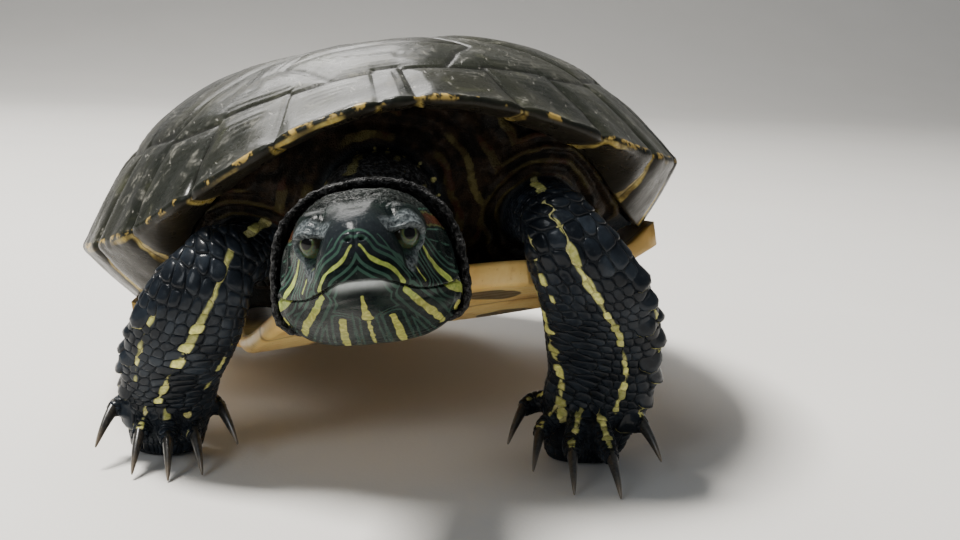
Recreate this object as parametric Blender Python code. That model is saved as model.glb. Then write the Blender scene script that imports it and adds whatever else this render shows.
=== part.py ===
"""Red-eared slider turtle, life size, standing still with its head raised and turned a little to its right.

Lengths here are in millimetres and become metres when a mesh is made. +Z is up, the head points to -Y and the
turtle's left is +X. The origin is on the floor, under the middle of the whole animal.
"""

from math import cos, pi, radians, sin

import bmesh
import bpy
import numpy as np

MM = 0.001
GAP = 0.3

# The whole animal is moved by this much, so that the origin is under the middle of its box.
CENTRE_X = -12.37
CENTRE_Y = 23.7

# Carapace, in a frame of its own: level with the side rims, +Y to the rear.
SHELL_LENGTH = 222.0
SHELL_HALF_WIDTH = 91.0
DOME_HEIGHT = 46.0
DOME_FLATNESS = 3.6
SLOPE_AT_ENDS = 1.16
SLOPE_AT_SIDES = 1.07
FRONT_ARCH = 26.4
FRONT_ARCH_POWER = 3.8
REAR_ARCH = 4.0
REAR_FLARE = 0.105
ARCH_FADE = 3.55
LIP_WIDTH = 13.0
BRIDGE_DROP = 16.5
ROOF = 5.0

# Stance: the shell is tipped to its right side and its front is raised.
SHELL_PLACE = (0.9, -3.0, 60.4)
SHELL_YAW = -3.7
SHELL_ROLL = -9.6
SHELL_PITCH = -6.7

# Plastron, in the shell's frame.
PLASTRON_LEVEL = -35.0
PLASTRON_UPTURN = 13.0
FRONT_LOBE_HALF_WIDTH = 48.5
REAR_LOBE_HALF_WIDTH = 46.0
LIP_THICKENING = 2.0
PLASTRON_THICKNESS = 5.0
PLASTRON_FRONT = -89.0
PLASTRON_REAR = 97.0
WING_START = 44.0
WING_REACH = 77.0
WING_RISE = 10.9
BRIDGE_FRONT = -38.0
BRIDGE_REAR = 40.0

# Flesh inside the shell stops this far from the shell's middle, front and rear.
TRUNK_FRONT = -76.0
TRUNK_REAR = 84.0

# Head, in a frame of its own with its origin at the tip of the snout on the level of the eyes.
SNOUT = (-27.9, -178.0, 78.6)
HEAD_YAW = -12.0
HEAD_PITCH = 15.7
HEAD_ROLL = -8.5
EYE_SIDE = 8.0
EYE_BACK = 12.0
EYE_RADIUS = 4.0
MOUTH_CORNER = 27.0

# (distance behind the snout, half width, crown, level of the widest point, throat)
HEAD_STATIONS = (
    (0.0, 2.6, 0.6, -3.5, -6.0),
    (1.4, 5.0, 2.2, -4.5, -9.6),
    (4.0, 7.4, 4.2, -5.5, -12.2),
    (8.0, 9.8, 6.2, -6.4, -14.0),
    (13.0, 12.2, 8.4, -7.2, -15.4),
    (19.0, 14.9, 10.2, -8.0, -17.2),
    (25.0, 17.2, 11.0, -8.6, -18.8),
    (30.0, 18.4, 11.0, -8.8, -19.6),
    (33.0, 18.3, 10.8, -8.8, -19.6),
)

# Neck, in the world: (point, half width, half height).
NECK_PATH = (
    ((-18.5, -128.0, 65.5), 14.6, 13.4),
    ((-15.0, -108.0, 68.5), 13.4, 12.6),
    ((-11.5, -88.0, 70.5), 14.4, 13.6),
    ((-7.0, -62.0, 69.0), 17.0, 15.0),
)
# Loose collar of skin behind the head, like the head's stations.
COLLAR_STATIONS = (
    (33.3, 20.0, 12.8, -8.8, -20.2),
    (36.0, 20.2, 12.8, -8.8, -20.4),
    (40.0, 18.0, 10.6, -8.6, -19.2),
)

# Forelegs, in the world: (point, half width, half depth) down the forearm, and the way the broad side runs.
LEFT_FOREARM = (
    ((31.5, -100.5, 69.0), 9.5, 8.5),
    ((34.5, -102.5, 63.0), 11.6, 8.7),
    ((40.0, -101.6, 54.5), 13.6, 8.4),
    ((45.0, -97.3, 45.5), 15.0, 8.2),
    ((48.3, -92.5, 35.5), 15.4, 7.8),
    ((49.8, -88.5, 26.0), 14.9, 7.4),
    ((49.0, -85.5, 18.0), 14.6, 7.6),
)
RIGHT_FOREARM = (
    ((-50.5, -85.0, 56.5), 9.5, 8.5),
    ((-53.5, -86.5, 50.5), 12.0, 8.8),
    ((-57.0, -85.5, 43.0), 13.6, 8.4),
    ((-60.0, -82.0, 35.0), 13.8, 7.9),
    ((-62.3, -77.0, 27.0), 13.2, 7.4),
    ((-63.3, -72.5, 19.5), 12.8, 7.4),
)
LEFT_UPPER_ARM = (
    ((35.5, -56.0, 64.5), 13.0, 11.5),
    ((34.0, -78.0, 67.5), 10.5, 9.5),
    ((32.5, -97.0, 67.5), 9.6, 8.5),
)
RIGHT_UPPER_ARM = (
    ((-36.0, -52.0, 55.0), 13.0, 11.5),
    ((-42.0, -70.0, 56.5), 10.5, 9.0),
    ((-50.0, -84.0, 54.5), 9.8, 8.2),
)
ARM_SIDE = (0.97, -0.22, 0.04)

# Hind legs, in the world.
LEFT_THIGH = (
    ((36.0, 57.0, 44.0), 13.0, 11.0),
    ((57.0, 61.0, 41.0), 12.0, 10.0),
    ((77.0, 62.5, 34.0), 10.8, 9.4),
)
LEFT_SHANK = (
    ((79.0, 63.0, 33.0), 10.5, 9.4),
    ((84.0, 69.0, 27.0), 10.4, 8.8),
    ((88.0, 75.0, 19.5), 9.8, 7.8),
    ((89.4, 77.6, 15.0), 9.8, 7.8),
    ((89.8, 78.2, 12.0), 10.0, 8.0),
)
RIGHT_THIGH = (
    ((-34.0, 56.0, 27.5), 12.0, 9.6),
    ((-48.0, 56.5, 24.0), 10.8, 8.4),
    ((-60.0, 56.5, 18.0), 9.8, 8.0),
)
RIGHT_SHANK = (
    ((-60.5, 57.0, 18.0), 9.6, 8.2),
    ((-62.0, 63.5, 18.8), 9.8, 8.0),
    ((-61.5, 71.0, 17.0), 9.4, 7.8),
    ((-60.8, 75.0, 13.8), 9.6, 7.8),
    ((-60.5, 76.0, 11.3), 9.8, 8.0),
)
LEG_SIDE = (0.45, 0.85, 0.1)

# Feet: middle of the sole, then for each toe (turn from straight ahead, reach to the claw's tip, lift of
# the tip). A turn is positive towards the middle of the body.
LEFT_HAND = ((47.0, -84.0), 12.2, 10.4)
LEFT_FINGERS = (
    (84.0, 21.6, 6.5),
    (50.0, 22.8, 3.0),
    (20.0, 27.8, 0.6),
    (-3.0, 30.0, 0.6),
    (-44.0, 23.4, 5.5),
)
RIGHT_HAND = ((-64.0, -68.5), 11.2, 10.2)
RIGHT_FINGERS = (
    (62.0, 20.6, 5.5),
    (26.0, 21.0, 0.6),
    (2.0, 22.5, 0.6),
    (-22.0, 21.4, 1.6),
    (-58.0, 20.4, 6.0),
)
LEFT_FOOT = ((90.0, 79.5), 10.6, 9.6)
RIGHT_FOOT = ((-60.5, 77.0), 10.4, 9.4)
LEFT_TOES = ((-8.0, 22.5, 0.6), (-31.0, 25.5, 0.6), (-54.0, 25.5, 0.6), (-80.0, 23.5, 0.8))
RIGHT_TOES = ((2.0, 22.5, 0.6), (-19.0, 25.0, 0.6), (-41.0, 24.5, 0.6), (-65.0, 22.5, 0.8))
# Toe's radius, then its claw's length, its slope down and its share of the toe's turn.
FINGER_SHAPE = (3.5, 11.0, 0.6, 0.45)
TOE_SHAPE = (3.4, 9.0, 0.5, 0.7)
SOLE_DEPTH = -1.5
CLAW_RADIUS = 1.65
CLAW_TIP = 0.3
CLAW_DROOP = 1.9
TOE_START = 3.0
TOE_LEVEL = 8.0
TOE_BEND = 4.5

# Tail, in the world: (point, radius).
TAIL_PATH = (
    ((2.0, 72.0, 32.5), 8.5),
    ((3.0, 88.0, 30.0), 6.8),
    ((3.5, 103.0, 25.5), 5.0),
    ((5.0, 115.0, 19.0), 3.5),
    ((8.0, 125.0, 13.0), 2.1),
    ((11.0, 132.0, 9.0), 0.9),
)

COLOURS = {
    "shell": ((0.035, 0.037, 0.026), 0.35),
    "plastron": ((0.55, 0.36, 0.12), 0.45),
    "skin": ((0.016, 0.022, 0.022), 0.5),
    "eye": ((0.28, 0.30, 0.10), 0.08),
    "claw": ((0.03, 0.026, 0.022), 0.35),
}


def clear_scene():
    for item in list(bpy.data.objects):
        bpy.data.objects.remove(item, do_unlink=True)


def make_materials():
    made = {}
    for name, (colour, roughness) in COLOURS.items():
        material = bpy.data.materials.new(name)
        material.use_nodes = True
        shader = material.node_tree.nodes["Principled BSDF"]
        shader.inputs["Base Color"].default_value = (*colour, 1.0)
        shader.inputs["Roughness"].default_value = roughness
        shader.inputs["Metallic"].default_value = 0.0
        made[name] = material
    return made


def turn(axis, degrees):
    """Rotation matrix about X, Y or Z."""
    c = cos(radians(degrees))
    s = sin(radians(degrees))
    return {
        "X": np.array([[1, 0, 0], [0, c, -s], [0, s, c]]),
        "Y": np.array([[c, 0, s], [0, 1, 0], [-s, 0, c]]),
        "Z": np.array([[c, -s, 0], [s, c, 0], [0, 0, 1]]),
    }[axis]


def unit(vector):
    vector = np.asarray(vector, float)
    return vector / np.linalg.norm(vector)


def smooth_step(value, low, high):
    t = np.clip((value - low) / (high - low), 0.0, 1.0)
    return t * t * (3.0 - 2.0 * t)


SHELL_TURN = turn("Z", SHELL_YAW) @ turn("X", SHELL_PITCH) @ turn("Y", SHELL_ROLL)
HEAD_TURN = turn("Z", HEAD_YAW) @ turn("X", -HEAD_PITCH) @ turn("Y", HEAD_ROLL)


def from_shell(points):
    """Points of the shell's frame, in the world."""
    return np.asarray(points, float) @ SHELL_TURN.T + SHELL_PLACE


def from_head(points):
    """Points (to the left, behind the snout, up) of the head's frame, in the world."""
    return np.asarray(points, float) @ HEAD_TURN.T + SNOUT


def spline(stations, count):
    """Rows of numbers read at even steps from a smooth curve through the stations."""
    rows = np.array([np.hstack([np.ravel(part) for part in station]) for station in stations], float)
    steps = np.r_[0.0, np.cumsum(np.linalg.norm(np.diff(rows[:, :3], axis=0), axis=1))]
    slopes = np.gradient(rows, steps, axis=0)
    at = np.linspace(0.0, steps[-1], count)
    k = np.clip(np.searchsorted(steps, at, side="right") - 1, 0, len(steps) - 2)
    span = (steps[k + 1] - steps[k])[:, None]
    t = (at - steps[k])[:, None] / span
    return (
        rows[k] * (2 * t**3 - 3 * t**2 + 1)
        + slopes[k] * span * (t**3 - 2 * t**2 + t)
        + rows[k + 1] * (3 * t**2 - 2 * t**3)
        + slopes[k + 1] * span * (t**3 - t**2)
    )


def tube(stations, sides, count, side_way, grow=0.0, round_start=False):
    """Oval rings along a path. With grow, the same shape larger all over by that much."""
    rows = spline(stations, count)
    path = rows[:, :3]
    tangents = np.gradient(path, axis=0)
    tangents /= np.linalg.norm(tangents, axis=1)[:, None]
    angles = np.linspace(0.0, 2 * pi, sides, endpoint=False)

    def ring(k, scale, shift):
        tangent = tangents[k]
        across = unit(np.asarray(side_way) - tangent * np.dot(side_way, tangent))
        through = np.cross(tangent, across)
        wide = (rows[k, 3] + grow) * scale * np.cos(angles)
        deep = (rows[k, 4] + grow) * scale * np.sin(angles)
        return path[k] + tangent * shift + np.outer(wide, across) + np.outer(deep, through)

    rings = [ring(k, 1.0, 0.0) for k in range(count)]
    bulges = ((0.92, 0.38), (0.68, 0.73), (0.34, 0.94))
    if round_start:
        depth = rows[0, 4] + grow
        rings = [ring(0, scale, -depth * out) for scale, out in reversed(bulges)] + rings
    elif grow:
        rings[0] = ring(0, 1.0, -grow)
    if grow:
        rings[-1] = ring(count - 1, 1.0, grow)
    return rings


def mesh_object(name, points, faces, material, cutter=False):
    """Object from points in millimetres; its faces are turned to point out."""
    mesh = bpy.data.meshes.new(name)
    shifted = (np.asarray(points, float) + (CENTRE_X, CENTRE_Y, 0.0)) * MM
    mesh.from_pydata([tuple(p) for p in shifted], [], faces)
    shape = bmesh.new()
    shape.from_mesh(mesh)
    bmesh.ops.recalc_face_normals(shape, faces=shape.faces)
    bmesh.ops.triangulate(shape, faces=[face for face in shape.faces if len(face.verts) > 3])
    shape.to_mesh(mesh)
    shape.free()
    mesh.shade_smooth()
    mesh.set_sharp_from_angle(angle=radians(50))
    mesh.materials.append(material)
    made = bpy.data.objects.new(name, mesh)
    bpy.context.scene.collection.objects.link(made)
    if cutter:
        made.hide_render = True
        made.display_type = "WIRE"
    return made


def loft(name, rings, material, cutter=False):
    """Closed body through rings of equal length, each end closed by a fan."""
    sides = len(rings[0])
    points = [point for ring in rings for point in ring]
    faces = []
    for k in range(len(rings) - 1):
        for j in range(sides):
            a = k * sides + j
            b = k * sides + (j + 1) % sides
            faces.append((a, b, b + sides, a + sides))
    for first, ring in ((0, rings[0]), ((len(rings) - 1) * sides, rings[-1])):
        points.append(np.mean(ring, axis=0))
        middle = len(points) - 1
        faces += [(first + j, first + (j + 1) % sides, middle) for j in range(sides)]
    return mesh_object(name, points, faces, material, cutter)


def combine(target, other, operation):
    """Boolean made at once, after which the other object is removed."""
    modifier = target.modifiers.new(operation.lower(), "BOOLEAN")
    modifier.operation = operation
    modifier.solver = "EXACT"
    modifier.object = other
    evaluated = target.evaluated_get(bpy.context.evaluated_depsgraph_get())
    result = bpy.data.meshes.new_from_object(evaluated)
    target.modifiers.clear()
    target.data = result
    bpy.data.objects.remove(other, do_unlink=True)


def rim(angle):
    """Edge of the carapace at an angle from the front, in the shell's frame."""
    s = np.sin(angle)
    c = np.cos(angle)
    y = -(SHELL_LENGTH / 2) * np.sign(c) * np.abs(c) ** 0.94
    x = SHELL_HALF_WIDTH * np.sign(s) * np.abs(s) ** 1.01
    x = x * (1 + REAR_FLARE * y / SHELL_LENGTH)
    z = FRONT_ARCH * np.clip(c, 0, 1) ** FRONT_ARCH_POWER + REAR_ARCH * np.clip(-c, 0, 1) ** 1.5
    return np.stack([x, y, z], -1)


def lip(angle, inset=0.0):
    """Inner edge of the carapace's underside."""
    edge = rim(angle)
    reach = np.linalg.norm(edge[..., :2], axis=-1)
    inner = edge * (1 - (LIP_WIDTH + inset) / reach)[..., None]
    from_side = np.abs(np.sin(angle))
    ahead = smooth_step(from_side, 0.62, 0.95)
    behind = smooth_step(from_side, 0.8, 0.97)
    drop = 2.0 + BRIDGE_DROP * np.where(np.cos(angle) > 0, ahead, behind)
    inner[..., 2] = edge[..., 2] - drop
    return inner


def dome(angle, edge, height, r):
    """Ring of a dome over an edge: r is 0 at its middle and 1 at the edge."""
    ring = edge * r
    toward_end = np.cos(angle) ** 2
    power = SLOPE_AT_ENDS * toward_end + SLOPE_AT_SIDES * (1 - toward_end)
    ring[..., 2] = edge[..., 2] * r**ARCH_FADE + height * (1 - r**DOME_FLATNESS) ** power
    return ring


def dome_steps(count):
    """Steps from the middle to the edge, closer together near the edge."""
    return [1 - (1 - k / count) ** 1.8 for k in range(count + 1)]


def make_carapace(material):
    angles = np.linspace(0.0, 2 * pi, 36, endpoint=False)
    edge = rim(angles)
    rings = [dome(angles, edge, DOME_HEIGHT, r) for r in dome_steps(9)[1:]]
    rings.append(edge * (0.997, 0.997, 1.0) - (0, 0, 2.0))
    rings.append(edge * (0.965, 0.965, 1.0) - (0, 0, 3.2))
    inner = lip(angles)
    rings.append(inner)
    roof = DOME_HEIGHT - ROOF
    rings += [dome(angles, inner, roof, r) for r in reversed(dome_steps(6)[1:-1])]
    return loft("carapace", [from_shell(ring) for ring in rings], material)


def plastron_underside(x, y):
    from_middle = np.clip(np.abs(x) / WING_START, 0, 1)
    front = PLASTRON_UPTURN * smooth_step(-y, 52.0, 96.0) * (1 - 0.3 * from_middle**2)
    wing = WING_RISE * np.clip((np.abs(x) - WING_START) / (WING_REACH - WING_START), 0, 1.2) ** 1.2
    return PLASTRON_LEVEL + front + wing


def plastron_half_width(y):
    front = FRONT_LOBE_HALF_WIDTH * np.sqrt(np.clip(1 - (np.clip(-y - 40, 0, 60) / 58) ** 2.4, 0, 1))
    rear = REAR_LOBE_HALF_WIDTH * np.sqrt(np.clip(1 - (np.clip(y - 38, 0, 62) / 66) ** 2.2, 0, 1))
    lobe = np.where(y < 0, front, rear)
    behind_front = smooth_step(y, BRIDGE_FRONT - 8, BRIDGE_FRONT + 4)
    bridge = behind_front * smooth_step(-y, -BRIDGE_REAR - 8, -BRIDGE_REAR + 4)
    return lobe + (WING_REACH - lobe) * bridge


def make_plastron(material):
    across = np.linspace(-1.0, 1.0, 9)
    stops = np.r_[
        np.linspace(PLASTRON_FRONT, BRIDGE_FRONT - 8, 6),
        np.linspace(BRIDGE_FRONT - 4, BRIDGE_REAR + 4, 6),
        np.linspace(BRIDGE_REAR + 8, PLASTRON_REAR, 6),
    ]
    rings = []
    for y in stops:
        x = across * plastron_half_width(y)
        under = plastron_underside(x, y)
        thick = PLASTRON_THICKNESS + LIP_THICKENING * smooth_step(-y, 66.0, 92.0)
        thick = thick * (1 - 0.25 * np.abs(across) ** 6)
        bottom = np.stack([x, np.full_like(x, y), under], -1)
        top = np.stack([x, np.full_like(x, y), under + thick], -1)
        rings.append(from_shell(np.vstack([bottom, top[::-1]])))
    return loft("plastron", rings, material)


def make_trunk(material):
    angles = np.linspace(0.0, 2 * pi, 28, endpoint=False)
    waist = lip(angles, 2.0)
    waist[..., 2] += 0.8
    roof = DOME_HEIGHT - ROOF - 1.6
    rings = [dome(angles, waist, roof, r) for r in dome_steps(5)[1:]]
    for r in (0.95, 0.82, 0.6, 0.3):
        ring = waist * r
        floor = plastron_underside(ring[..., 0], ring[..., 1]) + PLASTRON_THICKNESS + 0.8
        ring[..., 2] = floor + (np.maximum(waist[..., 2], floor) - floor) * r**4
        rings.append(ring)
    for ring in rings:
        bulge = 5.0 * np.clip(1 - (ring[..., 0] / 60) ** 2, 0, 1)
        ring[..., 1] = np.clip(ring[..., 1], TRUNK_FRONT - bulge, TRUNK_REAR + 0.4 * bulge)
    return loft("trunk", [from_shell(ring) for ring in rings], material)


def head_ring(station, sides, grow=0.0):
    """Ring of the head: wide and flat below, narrower over the crown."""
    back, half_width, crown, middle, throat = station
    angles = np.linspace(0.0, 2 * pi, sides, endpoint=False)
    c = np.cos(angles)
    s = np.sin(angles)
    full = smooth_step(back, 4.0, 20.0)
    side = (half_width + grow) * np.sign(c) * np.abs(c) ** np.where(s > 0, 0.92 - 0.1 * full, 0.92)
    above = (crown + grow - middle) * np.abs(s) ** (0.92 - 0.08 * full)
    below = (middle - throat + grow) * np.abs(s) ** 0.85
    up = middle + np.where(s > 0, above, -below)
    return from_head(np.stack([side, np.full_like(side, back), up], -1))


def mouth_line(back):
    """Level of the mouth at a distance behind the snout."""
    along = np.clip(back / MOUTH_CORNER, 0, 1)
    return -7.6 - 2.4 * np.sin(pi * along) - 1.2 * along


def make_head(materials):
    """Head with its upper jaw, the lower jaw and the eyes."""
    head = loft("head", [head_ring(station, 24) for station in HEAD_STATIONS], materials["skin"])
    for side, word in ((1, "left"), (-1, "right")):
        centre = (side * EYE_SIDE, EYE_BACK, 0.0)
        combine(head, ball("socket", centre, EYE_RADIUS + GAP, materials["skin"], cutter=True), "DIFFERENCE")
        ball("eye_" + word, centre, EYE_RADIUS, materials["eye"])
    steps = np.linspace(-4.0, MOUTH_CORNER, 12)
    line = [(back, mouth_line(back)) for back in steps]
    line += [(MOUTH_CORNER + 2.5, mouth_line(MOUTH_CORNER) - 4.0), (MOUTH_CORNER + 1.5, -26.0)]
    slot = []
    for side in (-30.0, 30.0):
        top = [(side, back, up + GAP / 2) for back, up in line[:-2]]
        top += [(side, line[-2][0] + GAP / 2, line[-2][1]), (side, line[-1][0] + GAP / 2, line[-1][1])]
        bottom = [(side, line[-1][0] - GAP / 2, line[-1][1])]
        bottom += [(side, line[-2][0] - GAP / 2, line[-2][1] - GAP / 2)]
        bottom += [(side, back, up - GAP / 2) for back, up in reversed(line[:-2])]
        slot.append(from_head(top + bottom))
    combine(head, strip("mouth_cut", slot, materials["skin"]), "DIFFERENCE")
    split(head, "lower_jaw", from_head((0.0, 8.0, -12.5)))


def strip(name, pair, material):
    """Thin bent slab between two like outlines."""
    count = len(pair[0])
    half = count // 2
    points = np.vstack(pair)
    faces = [(k, (k + 1) % count, count + (k + 1) % count, count + k) for k in range(count)]
    for first in (0, count):
        last = first + count - 1
        faces += [(first + k, first + k + 1, last - 1 - k, last - k) for k in range(half - 1)]
    return mesh_object(name, points, faces, material, cutter=True)


def split(target, name, inside):
    """The loose body of the target nearest a point becomes an object of its own."""
    shape = bmesh.new()
    shape.from_mesh(target.data)
    shape.verts.ensure_lookup_table()
    wanted = (np.asarray(inside) + (CENTRE_X, CENTRE_Y, 0.0)) * MM
    start = min(shape.verts, key=lambda v: np.linalg.norm(np.array(v.co) - wanted))
    found = {start}
    queue = [start]
    while queue:
        for edge in queue.pop().link_edges:
            for vert in edge.verts:
                if vert not in found:
                    found.add(vert)
                    queue.append(vert)
    marked = {vert.index for vert in found}
    for keep_marked, owner in ((True, None), (False, target)):
        part = shape.copy()
        part.verts.ensure_lookup_table()
        drop = [vert for vert in part.verts if (vert.index in marked) != keep_marked]
        bmesh.ops.delete(part, geom=drop, context="VERTS")
        mesh = bpy.data.meshes.new(name) if owner is None else target.data
        part.to_mesh(mesh)
        part.free()
        if owner is None:
            for material in target.data.materials:
                mesh.materials.append(material)
            made = bpy.data.objects.new(name, mesh)
            bpy.context.scene.collection.objects.link(made)
    shape.free()


def ball(name, centre, radius, material, cutter=False):
    """Sphere in the head's frame, with its poles to the sides."""
    rings = []
    around = np.linspace(0.0, 2 * pi, 12, endpoint=False)
    for tilt in np.linspace(0.0, pi, 8)[1:-1]:
        ring = np.stack(
            [
                np.full_like(around, cos(tilt)),
                sin(tilt) * np.cos(around),
                sin(tilt) * np.sin(around),
            ],
            -1,
        )
        rings.append(from_head(ring * radius + centre))
    return loft(name, rings, material, cutter)


def make_neck(material):
    rings = [head_ring(station, 20) for station in COLLAR_STATIONS]
    path = spline(NECK_PATH, 6)
    tangents = np.gradient(path[:, :3], axis=0)
    angles = np.linspace(0.0, 2 * pi, 20, endpoint=False)
    grown = []
    for row, tangent in zip(path, tangents):
        forward = unit(tangent)
        across = unit(np.cross(forward, (0, 0, 1)))
        up = np.cross(across, forward)
        for grow, found in ((0.0, rings), (GAP, grown)):
            wide = np.outer((row[3] + grow) * np.cos(angles), across)
            high = np.outer((row[4] + grow) * np.sin(angles), up)
            found.append(row[:3] + wide + high)
    loft("neck", rings, material)
    return loft("neck_cutter", grown, material, cutter=True)


def make_claw(name, base, aim, way, length, material):
    """Curved claw from its flat base, square to the toe's aim, to a blunt point."""
    side = unit(np.cross(way, (0, 0, 1)))
    angles = np.linspace(0.0, 2 * pi, 6, endpoint=False)
    rings = []
    for t in (0.0, 0.35, 0.7, 1.0):
        along = aim if t == 0.0 else way
        across = unit(side - along * (side @ along))
        down = np.cross(along, across)
        centre = base + way * (length * t) + down * (CLAW_DROOP * t * t)
        radius = CLAW_TIP + (CLAW_RADIUS - CLAW_TIP) * (1 - t) ** 0.7
        wide = np.outer(0.85 * radius * np.cos(angles), across)
        rings.append(centre + wide + np.outer(1.1 * radius * np.sin(angles), down))
    loft(name, rings, material)


def cut_away(target, centre, low, high, material):
    """Removes all of the target between two levels."""
    reach = 60.0
    x, y = centre
    corners = ((-reach, -reach), (reach, -reach), (reach, reach), (-reach, reach))
    block = [[(x + dx, y + dy, level) for dx, dy in corners] for level in (low, high)]
    combine(target, loft("block", block, material), "DIFFERENCE")


def pad_rings(top, pad):
    """Rings that run from the end of a leg down to its sole."""
    (centre_x, centre_y), half_width, half_depth = pad
    angles = np.linspace(0.0, 2 * pi, len(top), endpoint=False)
    across = unit((top[0] - np.mean(top, axis=0)) * (1, 1, 0))
    through = np.cross((0, 0, -1), across)
    rings = []
    for t, spread in ((0.4, 0.98), (0.72, 1.0), (0.9, 0.97), (1.0, 0.86)):
        wide = np.outer(half_width * spread * np.cos(angles), across)
        deep = np.outer(half_depth * spread * np.sin(angles), through)
        ring = top + (wide + deep + (centre_x, centre_y, 0.0) - top) * t
        ring[:, 2] = top[:, 2] * (1 - t) + SOLE_DEPTH * t
        rings.append(ring)
    return rings


def make_toe(foot, centre, ankle, toe, shape, mirror, skin):
    """Joins a toe to the foot; returns its claw's start, the toe's aim there, the claw's way and length."""
    degrees, reach, lift = toe
    radius, claw_length, claw_slope, claw_share = shape
    heading = radians(degrees) * mirror
    way = np.array([-sin(heading), -cos(heading), 0.0])
    turned = heading * claw_share
    ahead = np.array([-sin(turned), -cos(turned), 0.0])
    claw_way = unit(ahead - (0, 0, claw_slope))
    droop = np.cross(claw_way, np.cross(ahead, (0, 0, 1))) * CLAW_DROOP
    middle = np.array([*centre, 0.0])
    start = middle + way * TOE_START + (0, 0, min(TOE_LEVEL, ankle - 1.3 * radius))
    end = middle + way * reach + (0, 0, lift) - claw_way * claw_length - droop
    bend = end - unit(way + claw_way) * TOE_BEND
    stations = (
        (start, radius * 1.1, radius * 1.1),
        (bend, radius * 1.06, radius),
        (end, radius * 0.74, radius * 0.72),
    )
    rings = tube(stations, 7, 5, np.cross(way, (0, 0, 1)))
    combine(foot, loft("toe", rings, skin), "UNION")
    base = np.mean(rings[-1], axis=0)
    aim = unit(base - np.mean(rings[-2], axis=0))
    return base + aim * GAP, aim, claw_way, claw_length


def make_leg(word, upper, lower, side_way, pad, toes, shape, mirror, materials):
    """Upper leg, lower leg, foot and claws; returns a cutter that makes room for the leg in the trunk."""
    skin = materials["skin"]
    shank = tube(lower, 14, 8, side_way, round_start=True)
    whole = shank + pad_rings(shank[-1], pad)
    ankle = np.mean(shank[-1], axis=0)[2] + 1.0
    centre = pad[0]
    cut_away(loft(word + "_lower", whole, skin), centre, -40.0, ankle, skin)
    foot = loft(word + "_foot", whole[-7:], skin)
    cut_away(foot, centre, ankle - GAP, 60.0, skin)
    claws = [make_toe(foot, centre, ankle, toe, shape, mirror, skin) for toe in toes]
    cut_away(foot, centre, -40.0, 0.0, skin)
    for number, (base, aim, way, length) in enumerate(claws, 1):
        make_claw(f"{word}_claw_{number}", base, aim, way, length, materials["claw"])
    thigh = loft(word + "_upper", tube(upper, 12, 5, side_way), skin)
    grown = tube(lower, 14, 8, side_way, grow=GAP, round_start=True)
    combine(thigh, loft("room", grown, skin), "DIFFERENCE")
    return loft(word + "_cutter", tube(upper, 12, 5, side_way, grow=GAP), skin, cutter=True)


def make_tail(material):
    stations = [(point, radius, radius) for point, radius in TAIL_PATH]
    loft("tail", tube(stations, 10, 9, (1, 0, 0)), material)
    return loft("tail_cutter", tube(stations, 10, 9, (1, 0, 0), grow=GAP), material, cutter=True)


def main():
    clear_scene()
    materials = make_materials()
    skin = materials["skin"]
    make_carapace(materials["shell"])
    make_plastron(materials["plastron"])
    make_head(materials)
    cutters = [make_neck(skin), make_tail(skin)]
    legs = (
        ("fore_left", LEFT_UPPER_ARM, LEFT_FOREARM, ARM_SIDE, LEFT_HAND, LEFT_FINGERS, FINGER_SHAPE),
        ("fore_right", RIGHT_UPPER_ARM, RIGHT_FOREARM, ARM_SIDE, RIGHT_HAND, RIGHT_FINGERS, FINGER_SHAPE),
        ("hind_left", LEFT_THIGH, LEFT_SHANK, LEG_SIDE, LEFT_FOOT, LEFT_TOES, TOE_SHAPE),
        ("hind_right", RIGHT_THIGH, RIGHT_SHANK, LEG_SIDE, RIGHT_FOOT, RIGHT_TOES, TOE_SHAPE),
    )
    for word, upper, lower, side_way, pad, toes, shape in legs:
        mirror = 1 if word.endswith("left") else -1
        way = np.array(side_way, float)
        if word == "hind_right":
            way[0] = -way[0]
        cutters.append(make_leg(word, upper, lower, way, pad, toes, shape, mirror, materials))
    trunk = make_trunk(skin)
    for cutter in cutters:
        combine(trunk, cutter, "DIFFERENCE")


main()
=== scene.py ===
"""Looks of the life-size red-eared slider: skin, scales, shell plates, eyes, claws, floor, light and camera.

Lengths here are in millimetres, in the frame of the posed animal before it is centred on the floor, and
become metres when a mesh is made. The animal's left is +X, it faces -Y and +Z is up.
"""

from math import cos, pi, radians, sin

import bpy
import numpy as np
from mathutils import Matrix, Vector
from mathutils.bvhtree import BVHTree


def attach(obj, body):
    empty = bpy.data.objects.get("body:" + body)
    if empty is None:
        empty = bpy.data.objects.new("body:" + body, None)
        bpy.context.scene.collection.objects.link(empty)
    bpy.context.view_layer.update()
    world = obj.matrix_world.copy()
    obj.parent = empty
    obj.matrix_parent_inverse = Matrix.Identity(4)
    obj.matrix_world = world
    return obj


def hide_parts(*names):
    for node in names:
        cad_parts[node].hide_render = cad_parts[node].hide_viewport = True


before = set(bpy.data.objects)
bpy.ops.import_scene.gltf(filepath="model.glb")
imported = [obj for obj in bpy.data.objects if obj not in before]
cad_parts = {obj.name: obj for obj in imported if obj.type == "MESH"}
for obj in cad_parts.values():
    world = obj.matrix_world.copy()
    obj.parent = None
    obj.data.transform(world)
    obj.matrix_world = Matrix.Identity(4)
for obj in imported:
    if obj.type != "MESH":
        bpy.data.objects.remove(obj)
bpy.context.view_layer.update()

MM = 0.001
CENTRE = np.array([-12.37, 23.7, 0.0])
CHANCE = np.random.default_rng(7)
NO_STRIPE = -9.0  # Far outside every painted stripe.

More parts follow.
